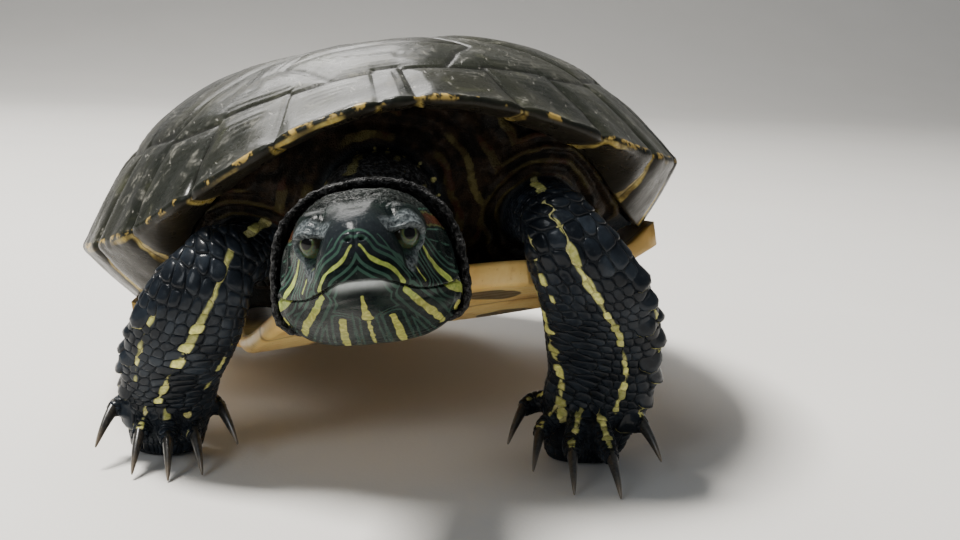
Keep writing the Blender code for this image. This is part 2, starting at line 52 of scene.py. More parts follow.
# Same sizes as the solids.
SHELL_LENGTH = 222.0
SHELL_HALF_WIDTH = 91.0
DOME_HEIGHT = 46.0
DOME_FLATNESS = 3.6
SLOPE_AT_ENDS = 1.16
SLOPE_AT_SIDES = 1.07
FRONT_ARCH = 26.4
FRONT_ARCH_POWER = 3.8
REAR_ARCH = 4.0
REAR_FLARE = 0.105
ARCH_FADE = 3.55
LIP_WIDTH = 13.0
BRIDGE_DROP = 16.5
ROOF = 5.0
SHELL_PLACE = (0.9, -3.0, 60.4)
SHELL_TURNS = (-3.7, -6.7, -9.6)
PLASTRON_LEVEL = -35.0
PLASTRON_THICKNESS = 5.0
PLASTRON_UPTURN = 13.0
LIP_THICKENING = 2.0
PLASTRON_FRONT = -89.0
PLASTRON_REAR = 97.0
WING_START = 44.0
WING_REACH = 77.0
WING_RISE = 10.9
BRIDGE_FRONT = -38.0
BRIDGE_REAR = 40.0
FRONT_LOBE = 48.5
REAR_LOBE = 46.0
CLAW_DROOP = 1.9

SNOUT = (-27.9, -178.0, 78.6)
HEAD_TURNS = (-12.0, -15.7, -8.5)
EYE_SIDE = 8.0
EYE_BACK = 12.0
EYE_RADIUS = 4.0
MOUTH_CORNER = 27.0

# Head: (distance behind the snout, half width, crown, level of the widest point, throat).
HEAD_STATIONS = (
    (0.0, 2.6, 0.6, -3.5, -6.0),
    (1.4, 5.0, 2.2, -4.5, -9.6),
    (4.0, 7.4, 4.2, -5.5, -12.2),
    (8.0, 9.8, 6.2, -6.4, -14.0),
    (13.0, 12.2, 8.4, -7.2, -15.4),
    (19.0, 14.9, 10.2, -8.0, -17.2),
    (25.0, 17.2, 11.0, -8.6, -18.8),
    (30.0, 18.4, 11.0, -8.8, -19.6),
    (33.0, 18.3, 10.8, -8.8, -19.6),
    (38.0, 15.0, 8.5, -8.0, -16.5),
)


def turn(axis, degrees):
    """Rotation matrix about X, Y or Z."""
    c = cos(radians(degrees))
    s = sin(radians(degrees))
    return {
        "X": np.array([[1, 0, 0], [0, c, -s], [0, s, c]]),
        "Y": np.array([[c, 0, s], [0, 1, 0], [-s, 0, c]]),
        "Z": np.array([[c, -s, 0], [s, c, 0], [0, 0, 1]]),
    }[axis]


def turns(angles):
    """Rotation by yaw, pitch and roll."""
    yaw, pitch, roll = angles
    return turn("Z", yaw) @ turn("X", pitch) @ turn("Y", roll)


SHELL_TURN = turns(SHELL_TURNS)
HEAD_TURN = turns(HEAD_TURNS)


def unit(vectors):
    """Vectors made one long."""
    vectors = np.asarray(vectors, float)
    return vectors / np.linalg.norm(vectors, axis=-1, keepdims=True)


def smooth_step(value, low, high):
    """Smooth rise from 0 at low to 1 at high."""
    t = np.clip((value - low) / (high - low), 0.0, 1.0)
    return t * t * (3.0 - 2.0 * t)


def bump(value, width):
    """Rounded bump of height 1 at 0, gone beyond the width."""
    t = np.clip(np.abs(value) / width, 0.0, 1.0)
    return (1 - t * t) ** 2


def from_shell(points):
    """Points of the shell's frame, in the posed animal's."""
    return np.asarray(points, float) @ SHELL_TURN.T + SHELL_PLACE


def from_head(points):
    """Points of the head's frame, in the posed animal's."""
    return np.asarray(points, float) @ HEAD_TURN.T + SNOUT


def to_head(points):
    """Points of the posed animal's frame, in the head's."""
    return (np.asarray(points, float) - SNOUT) @ HEAD_TURN


def arc_lengths(path):
    """Length along a path from its first point to each of its points."""
    return np.r_[0.0, np.cumsum(np.linalg.norm(np.diff(path, axis=0), axis=1))]


def curve(places, rows, at):
    """Rows read at some places on a smooth curve through the rows that stand at others."""
    slopes = np.gradient(rows, places, axis=0)
    k = np.clip(np.searchsorted(places, at, side="right") - 1, 0, len(places) - 2)
    span = (places[k + 1] - places[k])[..., None]
    t = (at - places[k])[..., None] / span
    return (
        rows[k] * (2 * t**3 - 3 * t**2 + 1)
        + slopes[k] * span * (t**3 - 2 * t**2 + t)
        + rows[k + 1] * (3 * t**2 - 2 * t**3)
        + slopes[k + 1] * span * (t**3 - t**2)
    )


def spline(stations, at):
    """Rows read at shares of the path's length on a smooth curve through the stations."""
    rows = np.array([np.hstack([np.ravel(part) for part in station]) for station in stations], float)
    steps = arc_lengths(rows[:, :3])
    return curve(steps, rows, np.asarray(at, float) * steps[-1])


def circle(count):
    """Angles evenly round a circle."""
    return np.linspace(0.0, 2 * pi, count, endpoint=False)


def apart(angle, other=0.0):
    """Turn between two angles, from 0 to pi."""
    return np.abs((angle - other + pi) % (2 * pi) - pi)


def head_surface(back, angle):
    """Smooth head before the eyes and mouth are formed; (left, behind, up) in the head's frame."""
    table = np.array(HEAD_STATIONS)
    half, crown, middle, throat = np.moveaxis(curve(table[:, 0], table, back), -1, 0)[1:]
    c = np.cos(angle)
    s = np.sin(angle)
    full = smooth_step(back, 4.0, 20.0)
    wide = np.abs(c) ** np.where(s > 0, 0.92 - 0.1 * full, 0.92 - 0.2 * full)
    side = half * np.sign(c) * wide
    above = (crown - middle) * np.abs(s) ** (0.92 - 0.08 * full)
    below = (middle - throat) * np.abs(s) ** (0.85 - 0.08 * full)
    up = middle + np.where(s > 0, above, -below)
    return np.stack([side, back + 0 * angle, up], -1)


HASH_FACTORS = (73856093, 19349663, 83492791)
HASH_MIXER = 1274126177
SEED_STEP = 37.7


def noise(points, size, seed=0):
    """Smooth noise from -1 to 1 with features of about the given size."""
    p = np.asarray(points, float) / size + SEED_STEP * seed
    low = np.floor(p).astype(np.int64)
    t = p - low
    t = t * t * (3 - 2 * t)
    total = np.zeros(len(p))
    for corner in np.ndindex(2, 2, 2):
        key = np.bitwise_xor.reduce((low + corner) * HASH_FACTORS, axis=1)
        key = (key ^ (key >> 13)) * HASH_MIXER
        value = ((key ^ (key >> 16)) & 65535) / 32767.5 - 1
        total += value * np.where(corner, t, 1 - t).prod(axis=1)
    return total


def flat_noise(x, y, size, seed):
    """Noise over a flat place, in the shape of x."""
    return noise(np.stack([np.ravel(x), np.ravel(y), np.ravel(x) * 0], -1), size, seed).reshape(x.shape)


def grid_faces(rows, columns, closed=True):
    """Quads of a grid of points, row after row; closed joins its last column to its first."""
    i = np.arange(rows - 1)[:, None] * columns
    j = np.arange(columns if closed else columns - 1)[None, :]
    k = (j + 1) % columns
    return np.stack([i + j, i + k, i + k + columns, i + j + columns], -1).reshape(-1, 4)


def make_mesh(name, points, face_sets, material):
    """Smooth mesh object from points in millimetres and sets of faces, each of one size."""
    points = (np.asarray(points, float) + CENTRE) * MM
    sets = [np.asarray(faces, np.int32) for faces in face_sets]
    corners = np.concatenate([faces.ravel() for faces in sets])
    sizes = np.concatenate([np.full(len(faces), faces.shape[1], np.int32) for faces in sets])
    starts = np.r_[0, np.cumsum(sizes)[:-1]].astype(np.int32)
    mesh = bpy.data.meshes.new(name)
    mesh.vertices.add(len(points))
    mesh.vertices.foreach_set("co", points.astype(np.float32).ravel())
    mesh.loops.add(len(corners))
    mesh.loops.foreach_set("vertex_index", corners)
    mesh.polygons.add(len(sizes))
    mesh.polygons.foreach_set("loop_start", starts)
    mesh.polygons.foreach_set("use_smooth", np.full(len(sizes), True))
    mesh.update(calc_edges=True)
    if material is not None:
        mesh.materials.append(material)
    made = bpy.data.objects.new(name, mesh)
    bpy.context.scene.collection.objects.link(made)
    return made


def add_values(target, **values):
    """Numbers stored on the mesh's points for its material to read."""
    for name, numbers in values.items():
        layer = target.data.attributes.new(name, "FLOAT", "POINT")
        layer.data.foreach_set("value", np.asarray(numbers, np.float32).ravel())


def normals_of(points, faces):
    """Point normals of a mesh of quads or triangles."""
    diagonal = points[faces[:, 2]] - points[faces[:, 0]]
    flat = np.cross(diagonal, points[faces[:, -1]] - points[faces[:, 1]])
    total = np.zeros_like(points)
    for corner in faces.T:
        for axis in range(3):
            total[:, axis] += np.bincount(corner, flat[:, axis], len(points))
    return total / np.maximum(np.linalg.norm(total, axis=1, keepdims=True), 1e-9)


def turned_out(points, faces):
    """Faces of a body, all turned to look out of it, and its points' normals."""
    normals = normals_of(points, faces)
    if ((points - points.mean(axis=0)) * normals).sum() < 0:
        return faces[:, ::-1], -normals
    return faces, normals


def fan(start, sides, middle):
    """Triangles from a ring of points, beginning at a number, to the point in its middle."""
    j = np.arange(sides)
    return np.stack([start + j, start + (j + 1) % sides, np.full(sides, middle)], -1)


def turned_to(way, points, faces):
    """Faces, all turned over if the first of them looks away from a direction."""
    a, b, c = points[faces[0, :3]]
    return faces if np.cross(b - a, c - a) @ way >= 0 else faces[:, ::-1]


def band(points, path):
    """How far inside a painted band each point lies; rows of its path are (x, y, z, half width)."""
    path = np.asarray(path, float)
    best = np.full(len(points), -1e9)
    for a, b in zip(path[:-1], path[1:]):
        way = b[:3] - a[:3]
        t = np.clip((points - a[:3]) @ way / (way @ way), 0, 1)
        gap = np.linalg.norm(points - a[:3] - t[:, None] * way, axis=1)
        best = np.maximum(best, a[3] + (b[3] - a[3]) * t - gap)
    return best


class Signal:
    """Output of a node, whose sums and products are nodes too."""

    def __init__(self, tree, socket):
        self.tree = tree
        self.socket = socket

    def math(self, operation, *others):
        return make_node(self.tree, "ShaderNodeMath", dict(enumerate((self, *others))), operation=operation)

    def __mul__(self, other):
        return self.math("MULTIPLY", other)

    def __add__(self, other):
        return self.math("ADD", other)

    def __sub__(self, other):
        return self.math("SUBTRACT", other)

    def __abs__(self):
        return self.math("ABSOLUTE")

    def scaled(self, factor, rest):
        """This by a factor, plus the rest."""
        return self.math("MULTIPLY_ADD", factor, rest)

    def rest(self):
        """What is missing to 1."""
        return make_node(self.tree, "ShaderNodeMath", {0: 1.0, 1: self}, operation="SUBTRACT")


def make_node(tree, kind, inputs, output=0, **settings):
    """One output of a new node, with numbers or other outputs at its inputs."""
    made = tree.nodes.new(kind)
    for key, value in settings.items():
        setattr(made, key, value)
    for key, value in inputs.items():
        if isinstance(value, Signal):
            tree.links.new(value.socket, made.inputs[key])
        else:
            made.inputs[key].default_value = value
    return Signal(tree, made.outputs[output])


class Paint:
    """Short names for building one material's nodes."""

    def __init__(self, name, **fixed):
        self.material = bpy.data.materials.new(name)
        self.material.use_nodes = True
        self.tree = self.material.node_tree
        self.shader = self.tree.nodes["Principled BSDF"]
        for key, value in fixed.items():
            self.shader.inputs[key.replace("_", " ")].default_value = value

    def node(self, kind, inputs, output=0, **settings):
        return make_node(self.tree, kind, inputs, output, **settings)

    def values(self, *names):
        """Numbers stored on the mesh under some names."""
        return [self.node("ShaderNodeAttribute", {}, "Fac", attribute_name=name) for name in names]

    def place(self):
        return self.node("ShaderNodeTexCoord", {}, "Object")

    def noise(self, size, detail=3.0, roughness=0.55, distortion=0.0):
        """Noise with features of about a size in millimetres."""
        inputs = {"Vector": self.place(), "Scale": 1 / MM / size, "Detail": detail, "Roughness": roughness,
                  "Distortion": distortion}
        return self.node("ShaderNodeTexNoise", inputs)

    def cells(self, size, stretch=(1, 1, 1)):
        """Distance to the nearest edge between cells of about a size in millimetres."""
        place = self.node("ShaderNodeMapping", {"Vector": self.place(), "Scale": stretch})
        inputs = {"Vector": place, "Scale": 1 / MM / size}
        return self.node("ShaderNodeTexVoronoi", inputs, feature="DISTANCE_TO_EDGE")

    def streaks(self):
        """Long thin noise for scratches."""
        settings = {"Vector": self.place(), "Scale": (1.0, 0.07, 1.0), "Rotation": (0.2, 0.1, 0.4)}
        lines = self.node("ShaderNodeMapping", settings)
        inputs = {"Vector": lines, "Scale": 900.0, "Detail": 2.0, "Roughness": 0.5}
        return self.node("ShaderNodeTexNoise", inputs)

    def fade(self, value, low, high, to_low=0.0, to_high=1.0):
        """Smooth change from one number to another as a value goes from low to high."""
        inputs = {"Value": value, 1: low, 2: high, 3: to_low, 4: to_high}
        return self.node("ShaderNodeMapRange", inputs, interpolation_type="SMOOTHSTEP")

    def mix(self, factor, a, b, blend="MIX"):
        """Colour between a and b."""
        a, b = ((*colour, 1.0) if isinstance(colour, tuple) else colour for colour in (a, b))
        return self.node("ShaderNodeMix", {0: factor, 6: a, 7: b}, 2, data_type="RGBA", blend_type=blend)

    def blend(self, value, low, high, a, b):
        """Colour that goes from a to b as a value goes from low to high."""
        return self.mix(self.fade(value, low, high), a, b)

    def finish(self, colour, roughness=None, height=None, depth=0.0, coat=None):
        """The material; a height of 1 stands up by a depth in millimetres."""
        normal = height and self.node("ShaderNodeBump", {"Height": height, "Distance": depth * MM})
        signals = {"Base Color": colour, "Roughness": roughness, "Normal": normal, "Coat Weight": coat}
        for key, signal in signals.items():
            if signal is not None:
                self.tree.links.new(signal.socket, self.shader.inputs[key])
        return self.material


# The photograph's view: the camera's place, the way it looks and about the way to its right.
LENS = 51.465
SENSOR_WIDTH = 36.0
CAMERA_PLACE = (-56.79, -428.36, 120.09)
CAMERA_AHEAD = (0.2037, 0.9611, -0.1866)
CAMERA_RIGHT = (0.98, -0.2, 0.0415)

# Lights: name, place, target, size, power, colour.
LIGHTS = (
    ("key", (-0.4, 0.12, 1.1), (0, -0.02, 0.05), 0.32, 38.0, (1.0, 0.97, 0.92)),
    ("fill", (-0.85, -0.85, 0.7), (0, -0.1, 0.05), 0.45, 4.5, (0.93, 0.97, 1.0)),
    ("rim", (-0.22, 0.95, 0.86), (0, 0.0, 0.06), 0.7, 10.0, (1.0, 0.98, 0.95)),
)
SKY = (0.86, 0.92, 1.0, 1.0)
SKY_STRENGTH = 0.24

# Backdrop in metres: how far it goes each way, where it begins to bend up, its bend's radius and its top.
BACKDROP_REACH = 6.0
BACKDROP_BEND = 1.2
BACKDROP_RADIUS = 0.9
BACKDROP_TOP = 3.2


def set_camera():
    """Close view from in front, a little above, with the lens of the photograph."""
    data = bpy.data.cameras.new("camera")
    data.lens = LENS
    data.sensor_width = SENSOR_WIDTH
    data.clip_start = 0.01
    camera = bpy.data.objects.new("camera", data)
    bpy.context.scene.collection.objects.link(camera)
    ahead = unit(CAMERA_AHEAD)
    right = unit(np.array(CAMERA_RIGHT) - ahead * np.dot(CAMERA_RIGHT, ahead))
    matrix = np.eye(4)
    matrix[:3, :3] = np.stack([right, np.cross(right, ahead), -ahead], -1)
    matrix[:3, 3] = (CAMERA_PLACE + CENTRE) * MM
    camera.matrix_world = Matrix(matrix.tolist())
    bpy.context.scene.camera = camera


def set_studio():
    """Pale paper backdrop, dim sky and the lights."""
    paint = Paint("studio_paper", Roughness=0.9, Specular_IOR_Level=0.2)
    grain = paint.noise(1.2, 4.0, 0.6)
    tone = paint.noise(90.0, 2.0, 0.5).scaled(0.3, grain * 0.15)
    paper = paint.finish(paint.mix(tone, (0.60, 0.585, 0.555), (0.72, 0.705, 0.68)), None, grain, 0.08)
    across = np.linspace(-BACKDROP_REACH, BACKDROP_REACH, 5)
    sweep = [(-BACKDROP_REACH, 0.0), (BACKDROP_BEND, 0.0)]
    for t in np.linspace(0.1, pi / 2, 12):
        sweep.append((BACKDROP_BEND + BACKDROP_RADIUS * sin(t), BACKDROP_RADIUS * (1 - cos(t))))
    sweep.append((BACKDROP_BEND + BACKDROP_RADIUS, BACKDROP_TOP))
    points = np.array([(x, y, z) for y, z in sweep for x in across]) / MM - CENTRE
    floor = make_mesh("floor", points, (grid_faces(len(sweep), len(across), False),), paper)
    world = bpy.data.worlds.new("studio")
    world.use_nodes = True
    background = world.node_tree.nodes["Background"]
    background.inputs["Color"].default_value = SKY
    background.inputs["Strength"].default_value = SKY_STRENGTH
    bpy.context.scene.world = world
    for name, place, target, size, power, colour in LIGHTS:
        data = bpy.data.lights.new(name, "AREA")
        data.size = size
        data.energy = power
        data.color = colour
        lamp = bpy.data.objects.new(name, data)
        bpy.context.scene.collection.objects.link(lamp)
        lamp.location = place
        lamp.rotation_euler = (Vector(target) - Vector(place)).to_track_quat("-Z", "Y").to_euler()


def carapace_paint():
    """Dark, glossy, worn horn with pale dust in its scratches, and yellow under the edge."""
    paint = Paint("carapace_horn", Coat_Weight=0.2, Coat_Roughness=0.13, Specular_IOR_Level=0.1)
    gap, tint, upper, ring = paint.values("seam_gap", "plate", "upper", "growth")
    rim_near, under, blotch = paint.values("rim_near", "under", "blotch")
    wide = paint.noise(30.0, 4.0, 0.6)
    middle = paint.noise(8.0, 5.0, 0.6, 0.4)
    fine = paint.noise(1.6, 5.0, 0.65)
    horn = paint.blend(wide, 0.36, 0.66, (0.006, 0.007, 0.006), (0.018, 0.018, 0.012))
    horn = paint.mix(tint * 0.5, horn, (0.014, 0.016, 0.010))
    olive = paint.fade(paint.noise(14.0, 3.0, 0.5, 0.8), 0.55, 0.72) * 0.55
    horn = paint.mix(olive, horn, (0.034, 0.036, 0.018))
    # Pale streaks that follow the growth rings, and dust.
    worn = paint.fade(middle, 0.5, 0.72) * paint.fade(fine, 0.42, 0.62)
    streak = paint.fade(ring, 0.2, 1.0) * paint.fade(middle, 0.42, 0.6)
    wear = (worn * 0.7).math("MAXIMUM", streak * 0.42) * upper
    colour = paint.mix(wear, horn, (0.17, 0.165, 0.14))
    scratch = paint.fade(paint.streaks(), 0.66, 0.76) * (upper * 0.4)
    colour = paint.mix(scratch, colour, (0.27, 0.26, 0.23))
    # Yellow between the dark patches under the edge, and a thin worn yellow line on the edge.
    below = paint.fade(under, 0.0, 0.02)
    yellow = paint.blend(fine, 0.3, 0.7, (0.34, 0.24, 0.055), (0.50, 0.40, 0.13))
    yellow = paint.blend(middle, 0.42, 0.66, yellow, (0.11, 0.075, 0.025))
    colour = paint.mix(below, colour, paint.blend(blotch, -0.03, 0.05, yellow, (0.016, 0.014, 0.010)))
    edge_line = paint.fade(rim_near, 0.3, 0.05) * below.rest()
    edge_line = edge_line * paint.fade(paint.noise(5.0, 3.0, 0.6), 0.52, 0.60)
    colour = paint.mix(edge_line, colour, (0.36, 0.25, 0.07))
    colour = paint.mix(paint.fade(gap, 0.1, 0.75, 1.0, 0.0) * 0.85, colour, (0.006, 0.006, 0.005))
    rough = wear.scaled(0.4, fine.scaled(0.22, 0.17)) + paint.fade(middle, 0.4, 0.7) * 0.14
    height = fine * 0.5 + middle * 1.2 - scratch * 0.7
    # The worn top shines; the underside of the edge is dull.
    return paint.finish(colour, rough, height, 0.16, upper.scaled(0.17, 0.03))


def plastron_paint():
    """Ochre horn of the underside with dark figures, stained along its seams."""
    paint = Paint("plastron_horn", Coat_Weight=0.15, Coat_Roughness=0.3, Specular_IOR_Level=0.45,
                  Subsurface_Weight=0.06, Subsurface_Scale=0.002)
    blotch, gap = paint.values("blotch", "seam_gap")
    wide = paint.noise(26.0, 4.0, 0.6, 0.5)
    fine = paint.noise(1.8, 5.0, 0.6)
    horn = paint.blend(wide, 0.35, 0.68, (0.56, 0.34, 0.085), (0.66, 0.47, 0.17))
    stain = paint.fade(paint.noise(9.0, 5.0, 0.62, 0.6), 0.5, 0.72) * 0.6
    horn = paint.mix(stain, horn, (0.30, 0.13, 0.03))
    horn = paint.mix(paint.fade(blotch, -0.06, 0.05) * 0.9, horn, (0.045, 0.030, 0.016))
    colour = paint.mix(paint.fade(gap, 0.1, 0.9, 1.0, 0.0) * 0.7, horn, (0.10, 0.05, 0.018))
    specks = paint.fade(paint.noise(0.9, 3.0, 0.6), 0.62, 0.72)
    colour = paint.mix(specks * 0.35, colour, (0.16, 0.08, 0.03))
    return paint.finish(colour, fine.scaled(0.3, 0.28), fine + wide, 0.12)


def claw_paint():
    """Dark horn, streaked along its length and paler at the worn tip."""
    paint = Paint("claw_horn", Coat_Weight=0.3, Coat_Roughness=0.18, Specular_IOR_Level=0.5)
    (tip,) = paint.values("tip")
    streak = paint.noise(0.7, 4.0, 0.6)
    dark = paint.blend(streak, 0.35, 0.7, (0.010, 0.010, 0.010), (0.040, 0.036, 0.030))
    colour = paint.mix(paint.fade(tip, 0.45, 1.0) * 0.75, dark, (0.16, 0.125, 0.085))
    return paint.finish(colour, streak.scaled(0.25, 0.22), streak, 0.06)


def eye_paint():
    """Green-yellow iris with brown flecks, a round pupil and a dark bar, under a clear wet surface."""
    paint = Paint("eye_wet", Roughness=0.3, Coat_Weight=0.45, Coat_Roughness=0.02, Specular_IOR_Level=0.03)
    height, reach = paint.values("height", "reach")
    streaks = paint.noise(0.28, 3.0, 0.7)
    spots = paint.noise(0.55, 3.0, 0.6)
    # Iris green below and darker olive towards its top; the darkening at the top is painted shade from the
    # upper lid.
    iris = paint.blend(height, -0.15, 0.6, (0.020, 0.056, 0.030), (0.032, 0.038, 0.014))
    iris = paint.blend(streaks, 0.44, 0.60, iris, (0.045, 0.040, 0.012))
    iris = paint.mix(paint.fade(spots, 0.52, 0.62) * 0.7, iris, (0.05, 0.035, 0.012))
    ring = paint.fade(reach, 0.36, 0.40) * paint.fade(reach, 0.50, 0.44)
    iris = paint.mix(ring * 0.3, iris, (0.10, 0.14, 0.04))
    bar = paint.fade(abs(height + 0.02), 0.34, 0.48, 1.0, 0.0) * paint.fade(reach, 0.46, 0.60)
    iris = paint.mix(bar * 0.93, iris, (0.012, 0.010, 0.006))
    colour = paint.mix(paint.fade(reach, 0.33, 0.37, 1.0, 0.0), iris, (0.002, 0.002, 0.002))
    return paint.finish(paint.blend(reach, 1.55, 1.75, colour, (0.018, 0.018, 0.014)))


STRIPE_SOFTNESS = 0.16


def body_colours(paint, stripe, darks, pales):
    """Dark skin with pale stripes whose edges wander a little; also where they are and a fine noise."""
    wide = paint.noise(9.0, 4.0, 0.6)
    fine = paint.noise(1.1, 4.0, 0.6)
    dark = paint.blend(wide, 0.38, 0.66, *darks)
    pale = paint.blend(fine, 0.35, 0.7, *pales)
    pale = paint.mix(paint.fade(paint.noise(3.0, 4.0, 0.6), 0.52, 0.75) * 0.45, pale, (0.20, 0.19, 0.075))
    inside = paint.fade(stripe, -STRIPE_SOFTNESS, STRIPE_SOFTNESS)
    return paint.mix(inside, dark, pale), inside, fine


def skin_paint():
    """Skin of the whole animal: striped head, loose folded neck and the skin between the scales."""
    paint = Paint("skin_wet", Coat_Weight=0.05, Coat_Roughness=0.1, Specular_IOR_Level=0.03)
    stripe, head, pale, loose, collar = paint.values("stripe", "head", "pale", "loose", "collar")
    up, behind, crown, nose = paint.values("jaw", "behind", "crown", "nose")
    line, red_at, mouth, lid = paint.values("fine", "red", "mouth", "lid")
    darks = (0.010, 0.012, 0.015), (0.022, 0.026, 0.030)
    colour, _, fine = body_colours(paint, stripe, darks, ((0.38, 0.36, 0.13), (0.56, 0.52, 0.25)))
    # Loose skin in the shell's openings: brown-black, its folds yellow, olive and rust; its own dark colour,
    # darkened further as painted shade under the shell.
    tone = paint.noise(7.0, 3.0, 0.6)
    fold = paint.blend(tone, 0.38, 0.5, (0.034, 0.014, 0.008), (0.045, 0.036, 0.014))
    fold = paint.blend(tone, 0.56, 0.68, fold, (0.095, 0.080, 0.030))
    hollow = paint.blend(paint.noise(5.0, 4.0, 0.6), 0.4, 0.62, (0.007, 0.006, 0.005), (0.024, 0.016, 0.010))
    colour = paint.mix(loose, colour, hollow)
    colour = paint.mix(paint.fade(pale, 0.15, 0.75, 0.0, 0.85), colour, fold)
    wrinkled = paint.noise(0.9, 4.0, 0.7)
    dark_neck = paint.blend(wrinkled, 0.44, 0.66, (0.006, 0.006, 0.006), (0.060, 0.060, 0.060))
    dark_neck = paint.mix(paint.fade(pale, 0.3, 0.8, 0.0, 0.8), dark_neck, (0.11, 0.10, 0.04))
    colour = paint.mix(collar, colour, dark_neck)
    # Head: its ground, the wrinkled crown, the tip of the nose and the fine green lines.
    tiny = paint.noise(0.6, 3.0, 0.6)
    blotch = paint.noise(4.0, 4.0, 0.62)
    ground = paint.blend(blotch, 0.36, 0.64, (0.003, 0.005, 0.005), (0.008, 0.013, 0.011))
    top = paint.blend(blotch, 0.36, 0.62, (0.010, 0.012, 0.011), (0.026, 0.029, 0.027))
    ground = paint.mix(crown * 0.85, ground, top)
    ground = paint.mix(nose * 0.8, ground, paint.mix(fine, (0.008, 0.010, 0.012), (0.022, 0.026, 0.030)))
    lined = paint.fade(line, -0.10, 0.06) * paint.fade(up, -1.0, -3.5, 0.75, 0.35)
    ground = paint.mix(lined, ground, (0.040, 0.085, 0.062))
    # The dull red patch behind the eye, in a thin olive border.
    ground = paint.mix(paint.fade(red_at, -0.55, -0.2) * 0.35, ground, (0.12, 0.13, 0.04))
    red = paint.blend(blotch, 0.35, 0.65, (0.028, 0.012, 0.007), (0.062, 0.024, 0.012))
    ground = paint.blend(red_at, -0.05, 0.3, ground, red)
    # A painted whitish highlight on the lower beak's front, the yellow stripes, the lids and the closed
    # mouth's line.
    beak = paint.fade(up, 0.05, -0.2) * paint.fade(up, -2.4, -0.6) * paint.fade(behind, 6.4, 0.6) * 0.85
    ground = paint.mix(beak, ground, paint.mix(fine, (0.52, 0.56, 0.56), (0.76, 0.80, 0.79)))
    yellow = paint.blend(fine, 0.35, 0.7, (0.22, 0.28, 0.055), (0.38, 0.42, 0.11))
    chin_yellow = paint.blend(fine, 0.35, 0.7, (0.21, 0.21, 0.045), (0.36, 0.35, 0.10))
    yellow = paint.blend(up, -1.0, -3.5, yellow, chin_yellow)
    yellow = paint.mix(paint.fade(blotch, 0.52, 0.74) * 0.6, yellow, (0.14, 0.16, 0.05))
    ground = paint.blend(stripe, -0.10, 0.10, ground, yellow)
    lid_colour = paint.blend(tiny, 0.35, 0.7, (0.034, 0.041, 0.045), (0.17, 0.19, 0.195))
    ground = paint.mix(lid * 0.72, ground, lid_colour)
    gape = mouth * paint.fade(abs(up + 0.1), 0.30, 0.12)
    ground = paint.mix(gape * 0.9, ground, (0.006, 0.005, 0.004))
    colour = paint.mix(head, colour, ground)
    # Small pale dust and dampness.
    specks = paint.fade(paint.noise(0.45, 2.0, 0.5), 0.66, 0.74)
    colour = paint.mix(specks * 0.08, colour, (0.30, 0.30, 0.26))
    rough = fine.scaled(0.26, 0.24) - head * 0.14
    # Grain of the body's skin, and the crinkled crown and collar.
    grain = paint.fade(paint.cells(0.75), 0.0, 0.25) * (head * 0.82).rest()
    height = grain + (tiny * 0.35 + fine * 0.5) * (head * 0.6).rest()
    crease = paint.fade(paint.cells(1.3, (1.0, 1.9, 1.0)), 0.0, 0.16)
    crinkled = (crown * head).math("MAXIMUM", collar * 0.9)
    return paint.finish(colour, rough, height + crease * crinkled * 2.4, 0.11)


def scale_paint():
    """Horny scales: blue-black plates, each a little different, with the skin's pale stripes over them."""
    paint = Paint("scale_horn", Coat_Weight=0.22, Coat_Roughness=0.12, Specular_IOR_Level=0.06)
    tint, inner, stripe = paint.values("tint", "inner", "stripe")
    darks = (0.005, 0.007, 0.010), (0.014, 0.019, 0.026)
    colour, inside, fine = body_colours(paint, stripe, darks, ((0.37, 0.38, 0.10), (0.58, 0.57, 0.22)))
    colour = paint.mix(1.0, colour, paint.mix(tint, (0.55, 0.55, 0.57), (1.55, 1.5, 1.45)), "MULTIPLY")
    rimmed = paint.fade(inner, 0.45, 0.05) * 0.55
    colour = paint.mix(rimmed, colour, paint.mix(inside, (0.006, 0.006, 0.007), (0.14, 0.11, 0.045)))
    worn = paint.fade(paint.noise(2.2, 4.0, 0.65), 0.54, 0.70) * paint.fade(inner, 0.5, 1.0)
    colour = paint.mix(worn * 0.14, colour, (0.10, 0.11, 0.12))
    height = fine + paint.noise(0.35, 3.0, 0.6) * 0.5
    return paint.finish(colour, fine.scaled(0.26, 0.22) + worn * 0.2, height, 0.05)


EYE_GAZE = (0.5, -0.86, -0.06)
LID_OPENING = 49.0
LID_DOME = (-0.2, 0.9, 1.2)
LID_DOME_RADIUS = 5.35
NOSTRIL = (1.35, 0.2, -1.3)

# Pale bands on the left of the head, in its frame: (side, behind, up, half width). The right mirrors them.
HEAD_STRIPES = (
    ((0.9, -0.1, -2.3, 0.2), (2.1, 0.0, -4.7, 0.3), (4.1, 1.0, -6.1, 0.36), (6.4, 3.0, -7.2, 0.4),
     (7.7, 5.6, -10.0, 0.42)),
    ((9.2, 7.0, -4.6, 0.1), (11.6, 12.3, -9.2, 0.28)),
    ((12.1, 13.8, -3.0, 0.45), (13.7, 16.6, -5.2, 0.75), (14.9, 19.2, -7.6, 0.95), (16.2, 22.4, -9.5, 1.25),
     (17.4, 30.0, -10.6, 1.2)),
    ((8.4, 8.4, -11.2, 0.6), (10.5, 14.5, -13.4, 0.7), (13.0, 21.0, -15.0, 0.8), (13.5, 38.0, -15.0, 0.8)),
    ((5.2, 13.4, -15.5, 0.6), (5.8, 27.0, -18.9, 0.85), (6.0, 38.0, -18.0, 0.8)),
    ((16.6, 26.6, -12.8, 1.0), (17.2, 38.0, -14.0, 1.3)),
)
CHIN_STRIPES = (
    ((0.0, 4.0, -12.2, 0.25), (0.0, 8.5, -14.2, 0.55), (0.0, 13.0, -15.7, 1.15)),
    ((0.0, 14.8, -16.2, 0.35), (0.0, 26.0, -19.0, 0.5), (0.0, 38.0, -18.0, 0.4)),
)
